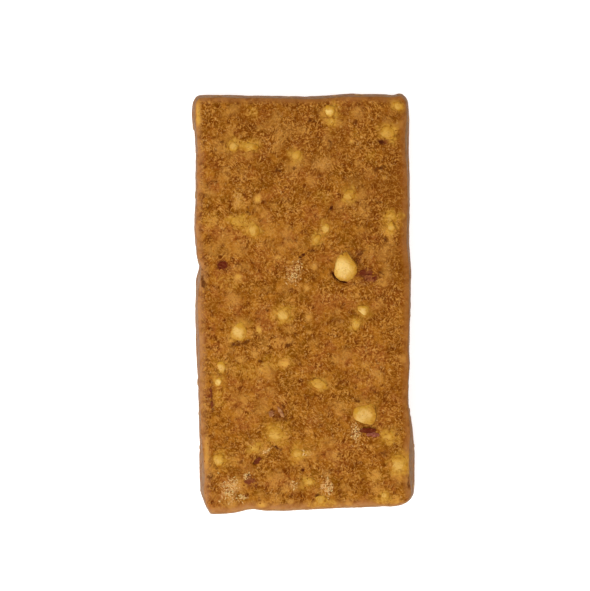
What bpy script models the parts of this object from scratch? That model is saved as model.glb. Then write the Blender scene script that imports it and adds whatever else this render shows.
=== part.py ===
"""Pressed fruit paste and peanut granola bar, lying flat on its underside.

A slab of sticky paste, cut to length, with chopped peanuts pressed into it. +X runs across the bar,
+Y along it and +Z up. The origin is under the middle of the bar, on the surface that it lies on.
"""

import math
import random

import bmesh
import bpy
import numpy as np
from mathutils import Euler, Matrix, Vector, noise
from mathutils.bvhtree import BVHTree

MM = 0.001

# Driving dimensions, in metres. The sides swell and the peanuts stand out a little past them.
LENGTH = 89.0 * MM
WIDTH = 45.9 * MM
THICKNESS = 11.0 * MM

# Rounding of the slab's edges
TOP_EDGE_RADIUS = 0.8 * MM
NEAR_TOP_EDGE_RADIUS = 1.5 * MM
BOTTOM_EDGE_RADIUS = 0.7 * MM

# Upright corners in plan: how much of each side they take in mm, and the curve's power.
# 2 is an arc, 1 a slant.
CORNERS = {
    (-1, 1): (1.4, 1.6, 2.0),
    (1, 1): (1.6, 1.9, 2.0),
    (1, -1): (4.6, 3.4, 1.8),
    (-1, -1): (2.3, 4.8, 1.3),
}

# The walls are widest at this share of the height, and draw in above and below it
WIDEST_AT = 0.38
FOOT_SHARE = 0.4
LEAN_POWER = 1.6

# The outline's pushes fade towards the middle by these powers of the distance, on the sides and on the ends
SIDE_FADE = 6
END_FADE = 12

# Each side's outline in mm: (where along the side, half its reach, how far out it pushes)
LEFT_SWELLS = (
    (40.4, 3.1, 0.58),
    (34.0, 5.0, -0.22),
    (16.5, 4.5, 0.40),
    (8.2, 1.7, -0.62),
    (-4.5, 9.0, 0.45),
    (-29.5, 4.0, -0.18),
    (-41.5, 2.5, -0.14),
)
RIGHT_SWELLS = (
    (39.0, 3.0, 0.22),
    (25.0, 4.0, 0.12),
    (13.5, 4.0, -0.22),
    (6.5, 2.5, 0.15),
    (-11.0, 9.0, -0.40),
    (-21.0, 4.5, -0.68),
    (-33.5, 5.5, 0.34),
)
FAR_SWELLS = (
    (-19.0, 8.0, 0.60),
    (-7.5, 4.5, 0.18),
    (10.5, 5.0, 0.33),
    (16.0, 2.5, 0.14),
    (21.2, 0.9, 0.30),
)
NEAR_SWELLS = ((-19.0, 3.0, 0.40), (-15.0, 2.5, 0.20), (-12.0, 2.0, -0.42), (-4.0, 6.0, 0.20))
NEAR_SLANT = 0.018
NEAR_SET_BACK = 0.30 * MM

# How far each wall's top edge lies inside its widest line: a plain share, and more in some places
SIDE_FLARE = 0.35 * MM
LEFT_FLARES = ((40.5, 3.5, 0.40), (5.5, 2.5, 0.60), (-7.0, 8.0, 0.50), (-36.0, 5.5, 0.80))
RIGHT_FLARES = ((36.0, 7.0, 0.50), (16.0, 9.0, 0.30), (-34.5, 6.5, 1.10))
FAR_FLARE = 0.75 * MM
NEAR_FLARE = 0.35 * MM

# Relief of the paste: (size of its lumps, height), coarse to fine
PASTE_RELIEF = ((12.0 * MM, 0.26 * MM), (4.5 * MM, 0.20 * MM), (2.2 * MM, 0.16 * MM))
CALM_EDGE = 2.6 * MM
CALM_SHARE = 0.40

# The relief of the top fades out between these upward parts of the normal, and the paste's lumps likewise
# towards the underside
TOP_FACING = (0.5, 0.95)
FLOOR_FACING = (-0.95, -0.30)
UNDERSIDE_FACING = (0.9, 1.0)

# Low mounds over peanut pieces that lie just under the surface
BURIED_PEANUTS = 110
BURIED_SPAN = (0.46, 0.47)
BURIED_SIZE = (2.2, 4.0)
BURIED_BREADTH = (0.65, 1.0)
BURIED_HEIGHT = (0.10 * MM, 0.26 * MM)

# Peanut pieces that show on top, in mm and degrees: x, y, length, breadth, turn, height out of the paste,
# and how much narrower the far end is
TOP_PEANUTS = (
    (8.9, 7.8, 6.2, 4.7, 97, 0.80, 0.50),
    (12.6, -23.7, 5.1, 5.4, 20, 0.66, 0.05),
    (-14.0, -5.7, 4.0, 3.4, 75, 0.40, 0.10),
    (-6.4, -28.0, 4.2, 3.5, 110, 0.29, 0.15),
    (20.0, -34.7, 4.6, 3.8, 100, 0.29, 0.10),
    (18.5, 36.2, 3.9, 3.2, 115, 0.22, 0.10),
    (-4.3, -2.3, 4.0, 3.0, 40, 0.23, 0.10),
    (6.1, 41.1, 2.7, 2.5, 80, 0.32, 0.10),
    (6.5, 39.0, 2.2, 1.5, 80, 0.18, 0.10),
    (-14.6, 34.1, 2.7, 2.3, 90, 0.30, 0.00),
    (-10.9, 33.7, 3.6, 2.0, 5, 0.26, 0.15),
    (12.7, -1.7, 2.9, 2.3, 150, 0.30, 0.10),
    (11.1, -4.6, 2.8, 1.8, 75, 0.19, 0.10),
    (19.0, 18.3, 3.2, 2.7, 120, 0.20, 0.10),
    (18.9, 16.1, 2.4, 1.6, 80, 0.26, 0.10),
    (10.1, 23.0, 3.0, 2.4, 20, 0.27, 0.10),
    (4.8, 16.0, 2.8, 1.7, 80, 0.24, 0.10),
    (2.9, 13.5, 2.8, 1.8, 60, 0.16, 0.10),
    (20.7, 42.0, 2.6, 1.9, 150, 0.22, 0.10),
    (-10.6, 16.0, 3.2, 2.6, 135, 0.20, 0.10),
    (-13.8, 17.8, 3.4, 2.2, 170, 0.16, 0.10),
    (-18.0, -13.4, 2.7, 1.9, 80, 0.27, 0.10),
    (-18.5, -16.4, 2.1, 1.8, 90, 0.26, 0.00),
    (3.0, -17.2, 3.9, 2.1, 155, 0.23, 0.10),
    (-10.9, -30.4, 3.2, 2.8, 70, 0.20, 0.10),
    (-1.7, -32.1, 3.0, 2.5, 20, 0.24, 0.10),
    (-18.6, -33.1, 3.0, 2.7, 30, 0.24, 0.10),
    (17.7, -28.7, 3.0, 2.8, 0, 0.18, 0.00),
    (3.1, -42.0, 3.0, 1.8, 10, 0.20, 0.10),
    (16.7, -41.2, 2.2, 1.6, 25, 0.20, 0.10),
    (0.5, -38.1, 2.8, 1.9, 20, 0.19, 0.10),
    (-1.3, 31.7, 3.0, 2.4, 10, 0.18, 0.10),
)
PEANUT_DEPTH_SHARE = 0.75

# How much more a piece follows the whole face than the slope right under it
LEVELLING = 2.0
PEANUT_HEAP_SHARE = 0.60
PEANUT_HEAP_REACH = 1.25

# Each piece's flat breaks: how many, how deep they cut into a ball of radius 1, how sharp their edges are.
# Above a share of its half height, only a share of the piece's height is left.
PEANUT_BREAKS = (7, 10)
BREAK_DEPTH = (0.52, 0.90)
BREAK_SHARPNESS = 12
PRESSED_FROM = 0.45
PRESSED_SHARE = 0.35
DETAILED_PEANUTS = (2, 7)

# Torn places in the paste, in mm and degrees: x, y, length, breadth, turn, depth. The fall is how fast
# they shoal away from their middles.
TEARS = (
    (6.6, 5.8, 3.2, 1.2, -52, 0.75),
    (8.6, 4.4, 3.0, 1.2, -22, 0.75),
    (-14.0, -8.5, 5.0, 1.5, 8, 0.75),
    (13.4, -27.5, 4.0, 1.4, -3, 0.65),
    (-6.2, -30.9, 3.6, 1.1, -28, 0.60),
    (-10.6, -33.7, 2.6, 1.2, 38, 0.65),
    (-0.8, -35.4, 1.9, 1.1, 75, 0.45),
    (1.9, 11.3, 2.8, 0.8, 0, 0.35),
    (-0.2, 10.3, 1.9, 0.8, 35, 0.40),
    (16.9, 34.3, 2.4, 1.1, -20, 0.50),
    (-17.3, 8.4, 2.2, 1.9, 45, 0.40),
    (13.4, 5.6, 3.0, 1.9, -12, 0.35),
    (6.1, 20.4, 1.6, 0.8, 60, 0.40),
    (-6.3, -23.6, 3.4, 3.0, 0, 0.35),
)
TEAR_FALL = 1.2

# Peanut pieces that the cut opened along the walls, and a crumb that hangs on the left wall
WALL_PEANUT_SPACING = 7.5 * MM
WALL_PEANUT_UNEVENNESS = (0.65, 1.35)
WALL_PEANUT_LEVELS = (0.25, 0.75)
CORNER_CLEARANCE = 5.0 * MM
WALL_PEANUT_SIZE = (2.0, 3.4)
WALL_PEANUT_PROUD = (0.06, 0.16)
WALL_CRUMB = (-23.3, -16.6, 5.5, 1.8, 1.2, 0.30)

# Hollows that the press left underneath, in mm
UNDERSIDE_HOLLOWS = 14
HOLLOW_SPAN = (0.38, 0.42)
HOLLOW_SIZE = (3.0, 6.0)
HOLLOW_BREADTH = (0.5, 0.9)
HOLLOW_DEPTH = (0.30 * MM, 0.60 * MM)
SEED = 41

# Mesh fineness: spacing of the slab's first grid, its levels up the wall, and the faces kept of it
GRID = 0.62 * MM
WALL_LEVELS = 16
KEPT_TRIANGLES = 9200
FLAT_WITHIN = 0.001 * MM

# Surfaces: linear colour and roughness
PASTE_COLOUR = (0.36, 0.132, 0.017, 1.0)
PASTE_ROUGHNESS = 0.52
PEANUT_COLOUR = (0.72, 0.40, 0.075, 1.0)
PEANUT_ROUGHNESS = 0.42


def clear_scene():
    """Removes every object that the scene starts with."""
    for obj in list(bpy.data.objects):
        bpy.data.objects.remove(obj, do_unlink=True)


def new_collection(name):
    """A collection of that name in the scene."""
    collection = bpy.data.collections.new(name)
    bpy.context.scene.collection.children.link(collection)
    return collection


def new_material(name, colour, roughness):
    """A plain Principled material for food."""
    material = bpy.data.materials.new(name)
    material.use_nodes = True
    shader = material.node_tree.nodes["Principled BSDF"]
    shader.inputs["Base Color"].default_value = colour
    shader.inputs["Roughness"].default_value = roughness
    shader.inputs["Metallic"].default_value = 0.0
    return material


def smooth_step(low, high, value):
    """0 below low, 1 above high, and a smooth rise between."""
    t = np.clip((value - low) / (high - low), 0.0, 1.0)
    return t * t * (3.0 - 2.0 * t)


def swell(along, swells):
    """The outline's push outwards at a place along a side, all in metres."""
    total = np.zeros_like(along)
    for centre, reach, push in swells:
        total += push * MM * np.exp(-(((along - centre * MM) / (reach * MM)) ** 2))
    return total


def gridded_cube(across, along, up):
    """A cube from -1 to 1 whose faces are cut into that many strips each way."""
    bm = bmesh.new()
    bmesh.ops.create_cube(bm, size=2.0)
    for axis, strips in enumerate((across, along, up)):
        lengthwise = [e for e in bm.edges if abs((e.verts[0].co - e.verts[1].co)[axis]) > 1.0]
        bmesh.ops.subdivide_edges(bm, edges=lengthwise, cuts=strips - 1, use_grid_fill=True)
    return bm


def rounded_in_plan(x, y):
    """Turns the square corners of the plan into arcs, each with its own radius."""
    x, y = x.copy(), y.copy()
    for (side_x, side_y), (across, along, power) in CORNERS.items():
        a = (side_x * x - WIDTH / 2) / (across * MM) + 1
        b = (side_y * y - LENGTH / 2) / (along * MM) + 1
        inside = (a > 0) & (b > 0)
        a, b = a[inside], b[inside]
        drawn_in = np.maximum(a, b) / (a**power + b**power) ** (1 / power)
        x[inside] = side_x * (WIDTH / 2 + across * MM * (a * drawn_in - 1))
        y[inside] = side_y * (LENGTH / 2 + along * MM * (b * drawn_in - 1))
    return x, y


def edge_rounding(z, top_radius):
    """How far the rounded top and bottom edges draw the wall in at height z."""
    inset = np.zeros_like(z)
    for radius, gap in ((top_radius, THICKNESS - z), (BOTTOM_EDGE_RADIUS, z)):
        into = np.clip(radius - gap, 0.0, radius)
        inset += radius - np.sqrt(radius * radius - into * into)
    return inset


def wall_lean(z):
    """0 where the wall is widest, 1 at the top edge, and a smaller share at the foot."""
    widest = WIDEST_AT * THICKNESS
    above = np.clip((z - widest) / (THICKNESS - widest), 0.0, 1.0)
    below = np.clip((widest - z) / widest, 0.0, 1.0)
    return above**LEAN_POWER + FOOT_SHARE * below**2


def slab_form(unit):
    """Places the cube's points as the slab without its relief: rounded, swollen, a little out of square."""
    x, y = rounded_in_plan(unit[:, 0] * WIDTH / 2, unit[:, 1] * LENGTH / 2)
    z = THICKNESS * (1 + np.sin(unit[:, 2] * math.pi / 2)) / 2
    lean = wall_lean(z)
    rounding = edge_rounding(z, TOP_EDGE_RADIUS)
    near_rounding = edge_rounding(z, NEAR_TOP_EDGE_RADIUS)
    left = swell(y, LEFT_SWELLS) - (SIDE_FLARE + swell(y, LEFT_FLARES)) * lean
    right = swell(y, RIGHT_SWELLS) - (SIDE_FLARE + swell(y, RIGHT_FLARES)) * lean
    far = swell(x, FAR_SWELLS) - FAR_FLARE * lean - rounding
    near = swell(x, NEAR_SWELLS) - NEAR_SLANT * x - NEAR_SET_BACK - NEAR_FLARE * lean - near_rounding
    out_x = np.where(x < 0, left, right) - rounding
    out_y = np.where(y < 0, near, far)
    share_x = (np.abs(x) / (WIDTH / 2)) ** SIDE_FADE
    share_y = (np.abs(y) / (LENGTH / 2)) ** END_FADE
    return np.column_stack((x + np.sign(x) * share_x * out_x, y + np.sign(y) * share_y * out_y, z))


def paste_lumps(points):
    """Height of the paste's uneven surface at each point, from coarse swell to crumbly grain."""
    height = np.zeros(len(points))
    for size, push in PASTE_RELIEF:
        for i, point in enumerate(points):
            height[i] += push * noise.noise(Vector(point) / size)
    return height


def oval_distance(points, x, y, length, breadth, turn):
    """Distance of each point from an oval's middle in plan: 1 on its rim. Sizes in mm, turn in degrees."""
    angle = math.radians(turn)
    dx, dy = points[:, 0] - x * MM, points[:, 1] - y * MM
    along = dx * math.cos(angle) + dy * math.sin(angle)
    aside = dy * math.cos(angle) - dx * math.sin(angle)
    return np.hypot(along / (length * MM / 2), aside / (breadth * MM / 2))


def buried_peanuts():
    """Ovals in mm and degrees, and a height, for the pieces that lie just under the top surface."""
    rng = random.Random(SEED + 3)
    ovals = []
    for _ in range(BURIED_PEANUTS):
        x = rng.uniform(-BURIED_SPAN[0], BURIED_SPAN[0]) * WIDTH / MM
        y = rng.uniform(-BURIED_SPAN[1], BURIED_SPAN[1]) * LENGTH / MM
        length = rng.uniform(*BURIED_SIZE)
        breadth = length * rng.uniform(*BURIED_BREADTH)
        ovals.append((x, y, length, breadth, rng.uniform(0, 180), rng.uniform(*BURIED_HEIGHT)))
    return ovals


def top_relief(points):
    """Extra height on top: mounds over the peanut pieces, less the torn places."""
    height = np.zeros(len(points))
    for x, y, length, breadth, turn, mound in buried_peanuts():
        rim = oval_distance(points, x, y, length, breadth, turn)
        height = np.maximum(height, mound * np.exp(-(rim**4)))
    for x, y, length, breadth, turn, proud, _ in TOP_PEANUTS:
        rim = oval_distance(points, x, y, length * PEANUT_HEAP_REACH, breadth * PEANUT_HEAP_REACH, turn)
        height += PEANUT_HEAP_SHARE * proud * MM * np.exp(-(rim**2))
    for x, y, length, breadth, turn, depth in TEARS:
        rim = oval_distance(points, x, y, length, breadth, turn)
        height -= depth * MM * np.exp(-(rim**2) * TEAR_FALL)
    return height


def underside_hollows(points, rng):
    """Depth of the shallow hollows that trapped air left underneath."""
    depth = np.zeros(len(points))
    for _ in range(UNDERSIDE_HOLLOWS):
        x = rng.uniform(-HOLLOW_SPAN[0], HOLLOW_SPAN[0]) * WIDTH / MM
        y = rng.uniform(-HOLLOW_SPAN[1], HOLLOW_SPAN[1]) * LENGTH / MM
        length = rng.uniform(*HOLLOW_SIZE)
        breadth = length * rng.uniform(*HOLLOW_BREADTH)
        rim = oval_distance(points, x, y, length, breadth, rng.uniform(0, 180))
        depth = np.maximum(depth, rng.uniform(*HOLLOW_DEPTH) * np.clip(1 - rim**2, 0.0, 1.0))
    return depth


def make_slab(collection, material):
    """The slab of paste with its relief, brought down to the triangles that its shape needs."""
    bm = gridded_cube(round(WIDTH / GRID), round(LENGTH / GRID), WALL_LEVELS)
    unit = np.array([v.co[:] for v in bm.verts])
    form = slab_form(unit)
    for vert, place in zip(bm.verts, form):
        vert.co = place
    bm.normal_update()
    normals = np.array([v.normal[:] for v in bm.verts])

    to_edge = np.minimum(WIDTH / 2 - np.abs(form[:, 0]), LENGTH / 2 - np.abs(form[:, 1]))
    calm = CALM_SHARE + (1 - CALM_SHARE) * smooth_step(0.0, CALM_EDGE, to_edge)
    facing_up = smooth_step(*TOP_FACING, normals[:, 2])
    off_the_floor = smooth_step(*FLOOR_FACING, normals[:, 2])
    off_the_floor *= smooth_step(0.0, BOTTOM_EDGE_RADIUS, form[:, 2])
    height = paste_lumps(form) * calm * off_the_floor + top_relief(form) * facing_up
    placed = form + normals * height[:, None]
    underneath = smooth_step(*UNDERSIDE_FACING, -normals[:, 2])
    placed[:, 2] += underside_hollows(form, random.Random(SEED)) * underneath
    for vert, place in zip(bm.verts, placed):
        vert.co = place

    mesh = bpy.data.meshes.new("bar")
    bm.to_mesh(mesh)
    bm.free()
    slab = bpy.data.objects.new("bar", mesh)
    collection.objects.link(slab)
    mesh.materials.append(material)
    fewer = slab.modifiers.new("fewer", "DECIMATE")
    fewer.ratio = KEPT_TRIANGLES / (2 * len(mesh.polygons))
    return slab


def peanut_facets(rng):
    """The flat breaks of one chopped piece: directions, and how deep each cuts into a ball of radius 1."""
    facets = []
    for _ in range(rng.randint(*PEANUT_BREAKS)):
        way = Vector((rng.gauss(0, 1), rng.gauss(0, 1), rng.gauss(0, 1))).normalized()
        facets.append((way, rng.uniform(*BREAK_DEPTH)))
    return facets


def peanut_reach(way, facets):
    """Distance from the piece's middle to its surface in one direction, the breaks' edges rubbed down."""
    total = 1.0
    for facet, depth in facets:
        total += max(0.0, way.dot(facet) / depth) ** BREAK_SHARPNESS
    return total ** (-1.0 / BREAK_SHARPNESS)


def peanut_form(points, size, taper):
    """Fits a broken ball's points to a length, breadth and depth in mm.

    One end is narrowed and the top is pressed flat.
    """
    low = [min(p[axis] for p in points) for axis in range(3)]
    high = [max(p[axis] for p in points) for axis in range(3)]
    form = []
    for point in points:
        x, y, z = (2 * (point[axis] - low[axis]) / (high[axis] - low[axis]) - 1 for axis in range(3))
        y *= 1 - taper * x
        z = min(z, PRESSED_FROM + PRESSED_SHARE * (z - PRESSED_FROM))
        form.append(Vector((x * size[0], y * size[1], z * size[2])) * MM / 2)
    return form


def make_peanut(name, collection, material, rng, turning, place, size, taper, fineness):
    """One chopped peanut piece as a low faceted solid. size is its length, breadth and depth in mm."""
    bm = bmesh.new()
    bmesh.ops.create_icosphere(bm, subdivisions=fineness, radius=1.0)
    facets = peanut_facets(rng)
    ways = [v.co.normalized() for v in bm.verts]
    broken = [way * peanut_reach(way, facets) for way in ways]
    for vert, spot in zip(bm.verts, peanut_form(broken, size, taper)):
        vert.co = spot
    mesh = bpy.data.meshes.new(name)
    bm.to_mesh(mesh)
    bm.free()
    mesh.materials.append(material)
    piece = bpy.data.objects.new(name, mesh)
    piece.matrix_world = Matrix.Translation(place) @ turning.to_4x4()
    collection.objects.link(piece)


def pressed_top(size):
    """Height of a piece's flattened top above its middle, in mm."""
    return (PRESSED_FROM + PRESSED_SHARE * (1 - PRESSED_FROM)) * size[2] / 2


def set_peanut(name, collection, material, rng, tree, line, size, turn, proud, taper=0.0, fineness=1):
    """Presses a piece into the slab where a line meets it, standing out of it by proud mm."""
    place, slope, _, _ = tree.ray_cast(*line)
    normal = (slope - line[1] * LEVELLING).normalized()
    along = Vector((1, 0, 0)) if abs(normal.x) < 0.7 else Vector((0, 1, 0))
    across = normal.cross(along).normalized()
    along = across.cross(normal)
    upright = Matrix((along, across, normal)).transposed()
    turning = upright @ Euler((0, 0, math.radians(turn))).to_matrix()
    middle = place + normal * (proud - pressed_top(size)) * MM
    make_peanut(name, collection, material, rng, turning, middle, size, taper, fineness)


def make_top_peanuts(collection, material, tree):
    """The pieces that show on top, each standing out of the paste by its own height."""
    rng = random.Random(SEED + 1)
    finest, finer = DETAILED_PEANUTS
    for i, (x, y, length, breadth, turn, proud, taper) in enumerate(TOP_PEANUTS):
        line = (Vector((x * MM, y * MM, 2 * THICKNESS)), Vector((0, 0, -1)))
        size = (length, breadth, breadth * PEANUT_DEPTH_SHARE)
        fineness = 3 if i < finest else 2 if i < finer else 1
        name = f"top_peanut_{i:02d}"
        set_peanut(name, collection, material, rng, tree, line, size, turn, proud, taper, fineness)


def wall_starts(rng):
    """Places outside the four walls, spaced unevenly, each with the way that looks at the wall."""
    starts = []
    for way, half_span, out in (
        (Vector((1, 0, 0)), LENGTH / 2, -WIDTH),
        (Vector((-1, 0, 0)), LENGTH / 2, WIDTH),
        (Vector((0, 1, 0)), WIDTH / 2, -LENGTH),
        (Vector((0, -1, 0)), WIDTH / 2, LENGTH),
    ):
        along = -half_span + CORNER_CLEARANCE
        while along < half_span - CORNER_CLEARANCE:
            z = THICKNESS * rng.uniform(*WALL_PEANUT_LEVELS)
            starts.append((Vector((out, along, z)) if way.x else Vector((along, out, z)), way))
            along += WALL_PEANUT_SPACING * rng.uniform(*WALL_PEANUT_UNEVENNESS)
    return starts


def make_wall_peanuts(collection, material, tree):
    """Pieces that the cut laid open along the four walls, and the crumb that hangs on the left one."""
    rng = random.Random(SEED + 2)
    for i, line in enumerate(wall_starts(rng)):
        length, breadth = (rng.uniform(*WALL_PEANUT_SIZE) for _ in range(2))
        size = (length, breadth, min(length, breadth))
        turn, proud = rng.uniform(0, 180), rng.uniform(*WALL_PEANUT_PROUD)
        name = f"wall_peanut_{i:02d}"
        set_peanut(name, collection, material, rng, tree, line, size, turn, proud)
    x, y, z, length, breadth, proud = WALL_CRUMB
    line = (Vector((2 * x, y, z)) * MM, Vector((1, 0, 0)))
    size = (length, breadth, breadth)
    set_peanut("wall_crumb", collection, material, rng, tree, line, size, 0, proud)


def fuse(slab, collection):
    """Joins every peanut piece to the slab as one solid, and removes the loose pieces."""
    join = slab.modifiers.new("join", "BOOLEAN")
    join.operation = "UNION"
    join.operand_type = "COLLECTION"
    join.collection = collection
    join.solver = "MANIFOLD"
    graph = bpy.context.evaluated_depsgraph_get()
    fused = bpy.data.meshes.new_from_object(slab.evaluated_get(graph))
    slab.modifiers.clear()
    loose_mesh = slab.data
    slab.data = fused
    bpy.data.meshes.remove(loose_mesh)
    fused.name = "bar"
    for piece in list(collection.objects):
        bpy.data.objects.remove(piece, do_unlink=True)
    bpy.data.collections.remove(collection)


def drop_flat_and_centre(slab):
    """Lays the underside on z = 0 and the middle of the bar's box over the origin."""
    points = np.array([v.co[:] for v in slab.data.vertices])
    low, high = points.min(axis=0), points.max(axis=0)
    middle = (low + high) / 2
    shift = np.array((-middle[0], -middle[1], -low[2]))
    for vert, place in zip(slab.data.vertices, points + shift):
        vert.co = place
        if place[2] < FLAT_WITHIN:
            vert.co.z = 0.0


def slab_as_tree(slab):
    """The slab's surface, ready to be met by straight lines."""
    bpy.context.view_layer.update()
    return BVHTree.FromObject(slab, bpy.context.evaluated_depsgraph_get())


def main():
    clear_scene()
    food = new_collection("granola_bar")
    loose = new_collection("loose_peanuts")
    paste = new_material("fruit_paste", PASTE_COLOUR, PASTE_ROUGHNESS)
    peanut = new_material("peanut", PEANUT_COLOUR, PEANUT_ROUGHNESS)
    slab = make_slab(food, paste)
    tree = slab_as_tree(slab)
    make_top_peanuts(loose, peanut, tree)
    make_wall_peanuts(loose, peanut, tree)
    fuse(slab, loose)
    drop_flat_and_centre(slab)


main()
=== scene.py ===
"""Looks of a pressed granola bar: sticky brown paste with chopped peanuts, seen straight from above.

The CAD frame gives the slab. Here the slab gets its crumbly skin, and each kind of thing in it gets a mesh
of its own: peanut pieces, bits of red peanut skin, pale dry flakes and loose crumbs.
"""

import math
import random

import bmesh
import bpy
import numpy as np
from mathutils import Euler, Matrix, Vector, noise
from mathutils.bvhtree import BVHTree

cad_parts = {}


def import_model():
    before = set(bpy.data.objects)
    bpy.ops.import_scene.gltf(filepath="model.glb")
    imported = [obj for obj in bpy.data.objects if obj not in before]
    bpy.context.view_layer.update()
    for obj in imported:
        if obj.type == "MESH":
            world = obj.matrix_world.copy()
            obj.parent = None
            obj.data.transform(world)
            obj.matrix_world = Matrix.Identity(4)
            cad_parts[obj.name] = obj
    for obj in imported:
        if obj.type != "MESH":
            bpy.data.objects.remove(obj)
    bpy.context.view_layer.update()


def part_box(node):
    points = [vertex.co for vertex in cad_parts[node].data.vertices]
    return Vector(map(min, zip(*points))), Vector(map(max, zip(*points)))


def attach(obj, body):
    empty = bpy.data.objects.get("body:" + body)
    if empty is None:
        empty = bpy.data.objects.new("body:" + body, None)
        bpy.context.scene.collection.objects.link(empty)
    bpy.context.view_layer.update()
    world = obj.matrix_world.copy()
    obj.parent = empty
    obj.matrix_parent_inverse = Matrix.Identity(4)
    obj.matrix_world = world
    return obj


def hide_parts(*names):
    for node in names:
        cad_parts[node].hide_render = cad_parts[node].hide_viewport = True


MM = 0.001

# The slab's driving dimensions, as in the part's source
LENGTH = 89.0 * MM
WIDTH = 45.9 * MM
THICKNESS = 11.0 * MM
TOP_EDGE_RADIUS = 0.8 * MM
NEAR_TOP_EDGE_RADIUS = 1.5 * MM
BOTTOM_EDGE_RADIUS = 0.7 * MM

# Upright corners in plan: how much of each side they take in mm, and the curve's power.
# 2 is an arc, 1 a slant.
CORNERS = {
    (-1, 1): (1.4, 1.6, 2.0),
    (1, 1): (1.6, 1.9, 2.0),
    (1, -1): (4.6, 3.4, 1.8),
    (-1, -1): (2.3, 4.8, 1.3),
}

# The walls are widest at this share of the height, and draw in above and below it
WIDEST_AT = 0.38
FOOT_SHARE = 0.4
LEAN_POWER = 1.6

# The outline's pushes fade towards the middle by these powers of the distance, on the sides and on the ends
SIDE_FADE = 6
END_FADE = 12

# Each side's outline in mm: (where along the side, half its reach, how far out it pushes)
LEFT_SWELLS = (
    (40.4, 3.1, 0.58), (34.0, 5.0, -0.22), (16.5, 4.5, 0.4), (8.2, 1.7, -0.62), (-4.5, 9.0, 0.45),
    (-29.5, 4.0, -0.18), (-41.5, 2.5, -0.14),
)
RIGHT_SWELLS = (
    (39.0, 3.0, 0.22), (25.0, 4.0, 0.12), (13.5, 4.0, -0.22), (6.5, 2.5, 0.15), (-11.0, 9.0, -0.4),
    (-21.0, 4.5, -0.68), (-33.5, 5.5, 0.34),
)
FAR_SWELLS = (
    (-19.0, 8.0, 0.6), (-7.5, 4.5, 0.18), (10.5, 5.0, 0.33), (16.0, 2.5, 0.14), (21.2, 0.9, 0.3),
)
NEAR_SWELLS = ((-19.0, 3.0, 0.4), (-15.0, 2.5, 0.2), (-12.0, 2.0, -0.42), (-4.0, 6.0, 0.2))
NEAR_SLANT = 0.018
NEAR_SET_BACK = 0.3 * MM

# How far each wall's top edge lies inside its widest line: a plain share, and more in some places
SIDE_FLARE = 0.35 * MM
LEFT_FLARES = ((40.5, 3.5, 0.4), (5.5, 2.5, 0.6), (-7.0, 8.0, 0.5), (-36.0, 5.5, 0.8))
RIGHT_FLARES = ((36.0, 7.0, 0.5), (16.0, 9.0, 0.3), (-34.5, 6.5, 1.1))
FAR_FLARE = 0.75 * MM
NEAR_FLARE = 0.35 * MM

# Relief of the paste: (size of its lumps, height), coarse to fine. The crumb is finer than the solid's mesh.
# This close to an edge, only a share of it is left at the edge itself.
PASTE_RELIEF = ((12.0 * MM, 0.26 * MM), (4.5 * MM, 0.2 * MM), (2.2 * MM, 0.16 * MM))
CRUMB_RELIEF = ((1.25 * MM, 0.1 * MM), (0.62 * MM, 0.1 * MM))
CALM_EDGE = 2.6 * MM
CALM_SHARE = 0.4

# Crumbly patches: (size, share) of the noise that lays them out, its values between which the smeared paste
# turns crumbly, and the share of the crumb that smeared paste has
ROUGH_PATCH_SIZE = 5.5 * MM
ROUGH_PATCHES = ((ROUGH_PATCH_SIZE, 1.0), (ROUGH_PATCH_SIZE / 3, 0.45))
ROUGH_FROM = (-0.22, 0.22)
SMOOTH_PATCH_CRUMB = 0.3

# Depth of the crumb that counts as the deepest and the highest for its colour. Its hollows are painted
# darker, as shade.
CRUMB_DEPTH = 0.14 * MM

# Streaks along the walls: their length, breadth and height
WALL_DRAG = (2.4 * MM, 0.5 * MM, 0.1 * MM)

# Shares of the wall's height between which its lower colour fades out, and how much that wanders
LOW_WALL = (1.0, 0.3)
WALL_WANDER = ((6.0 * MM, 0.45), (1.8 * MM, 0.25))

# How broad the smooth rim is along the left, right, far and near side, where it fades, as shares of that,
# and how much the rim's line wanders
SMOOTH_RIMS = (0.9 * MM, 2.0 * MM, 1.1 * MM, 1.7 * MM)
RIM_FADE = (1.0, 0.45)
RIM_WANDER = 0.35

# Breadth of the tan border, from the shaded side to the lit one, and its least strength, on the shaded side.
# Being broader and stronger where the key light falls, the border is partly painted light. It is full from
# this share of its breadth outwards.
BORDER = (1.6 * MM, 2.0 * MM)
BORDER_LEAST = 0.38
BORDER_FULL = 0.1

# Painted light: the left and near side, which face the key light, are painted pale and the right and far side
# dull, as shade. One turns into the other between these values of how far left and near a place is, as shares
# of the width and the length.
LIT_SIDE_RANGE = (-0.35, 0.35)

# The relief of the top fades out between these upward parts of the normal, and the paste's lumps likewise
# towards the underside
TOP_FACING = (0.5, 0.95)
FLOOR_FACING = (-0.95, -0.3)
UNDERSIDE_FACING = (0.9, 1.0)

# The same for the patches on top, for the walls by how level the normal is, and for the near wall
PATCH_FACING = (0.3, 0.8)
WALL_FACING = (0.75, 0.3)
NEAR_FACING = (0.2, 0.8)

# Low mounds over peanut pieces that lie just under the surface
BURIED_PEANUTS = 110
BURIED_SPAN = (0.46, 0.47)
BURIED_SIZE = (2.2, 4.0)
BURIED_BREADTH = (0.65, 1.0)
BURIED_HEIGHT = (0.1 * MM, 0.26 * MM)

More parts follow.
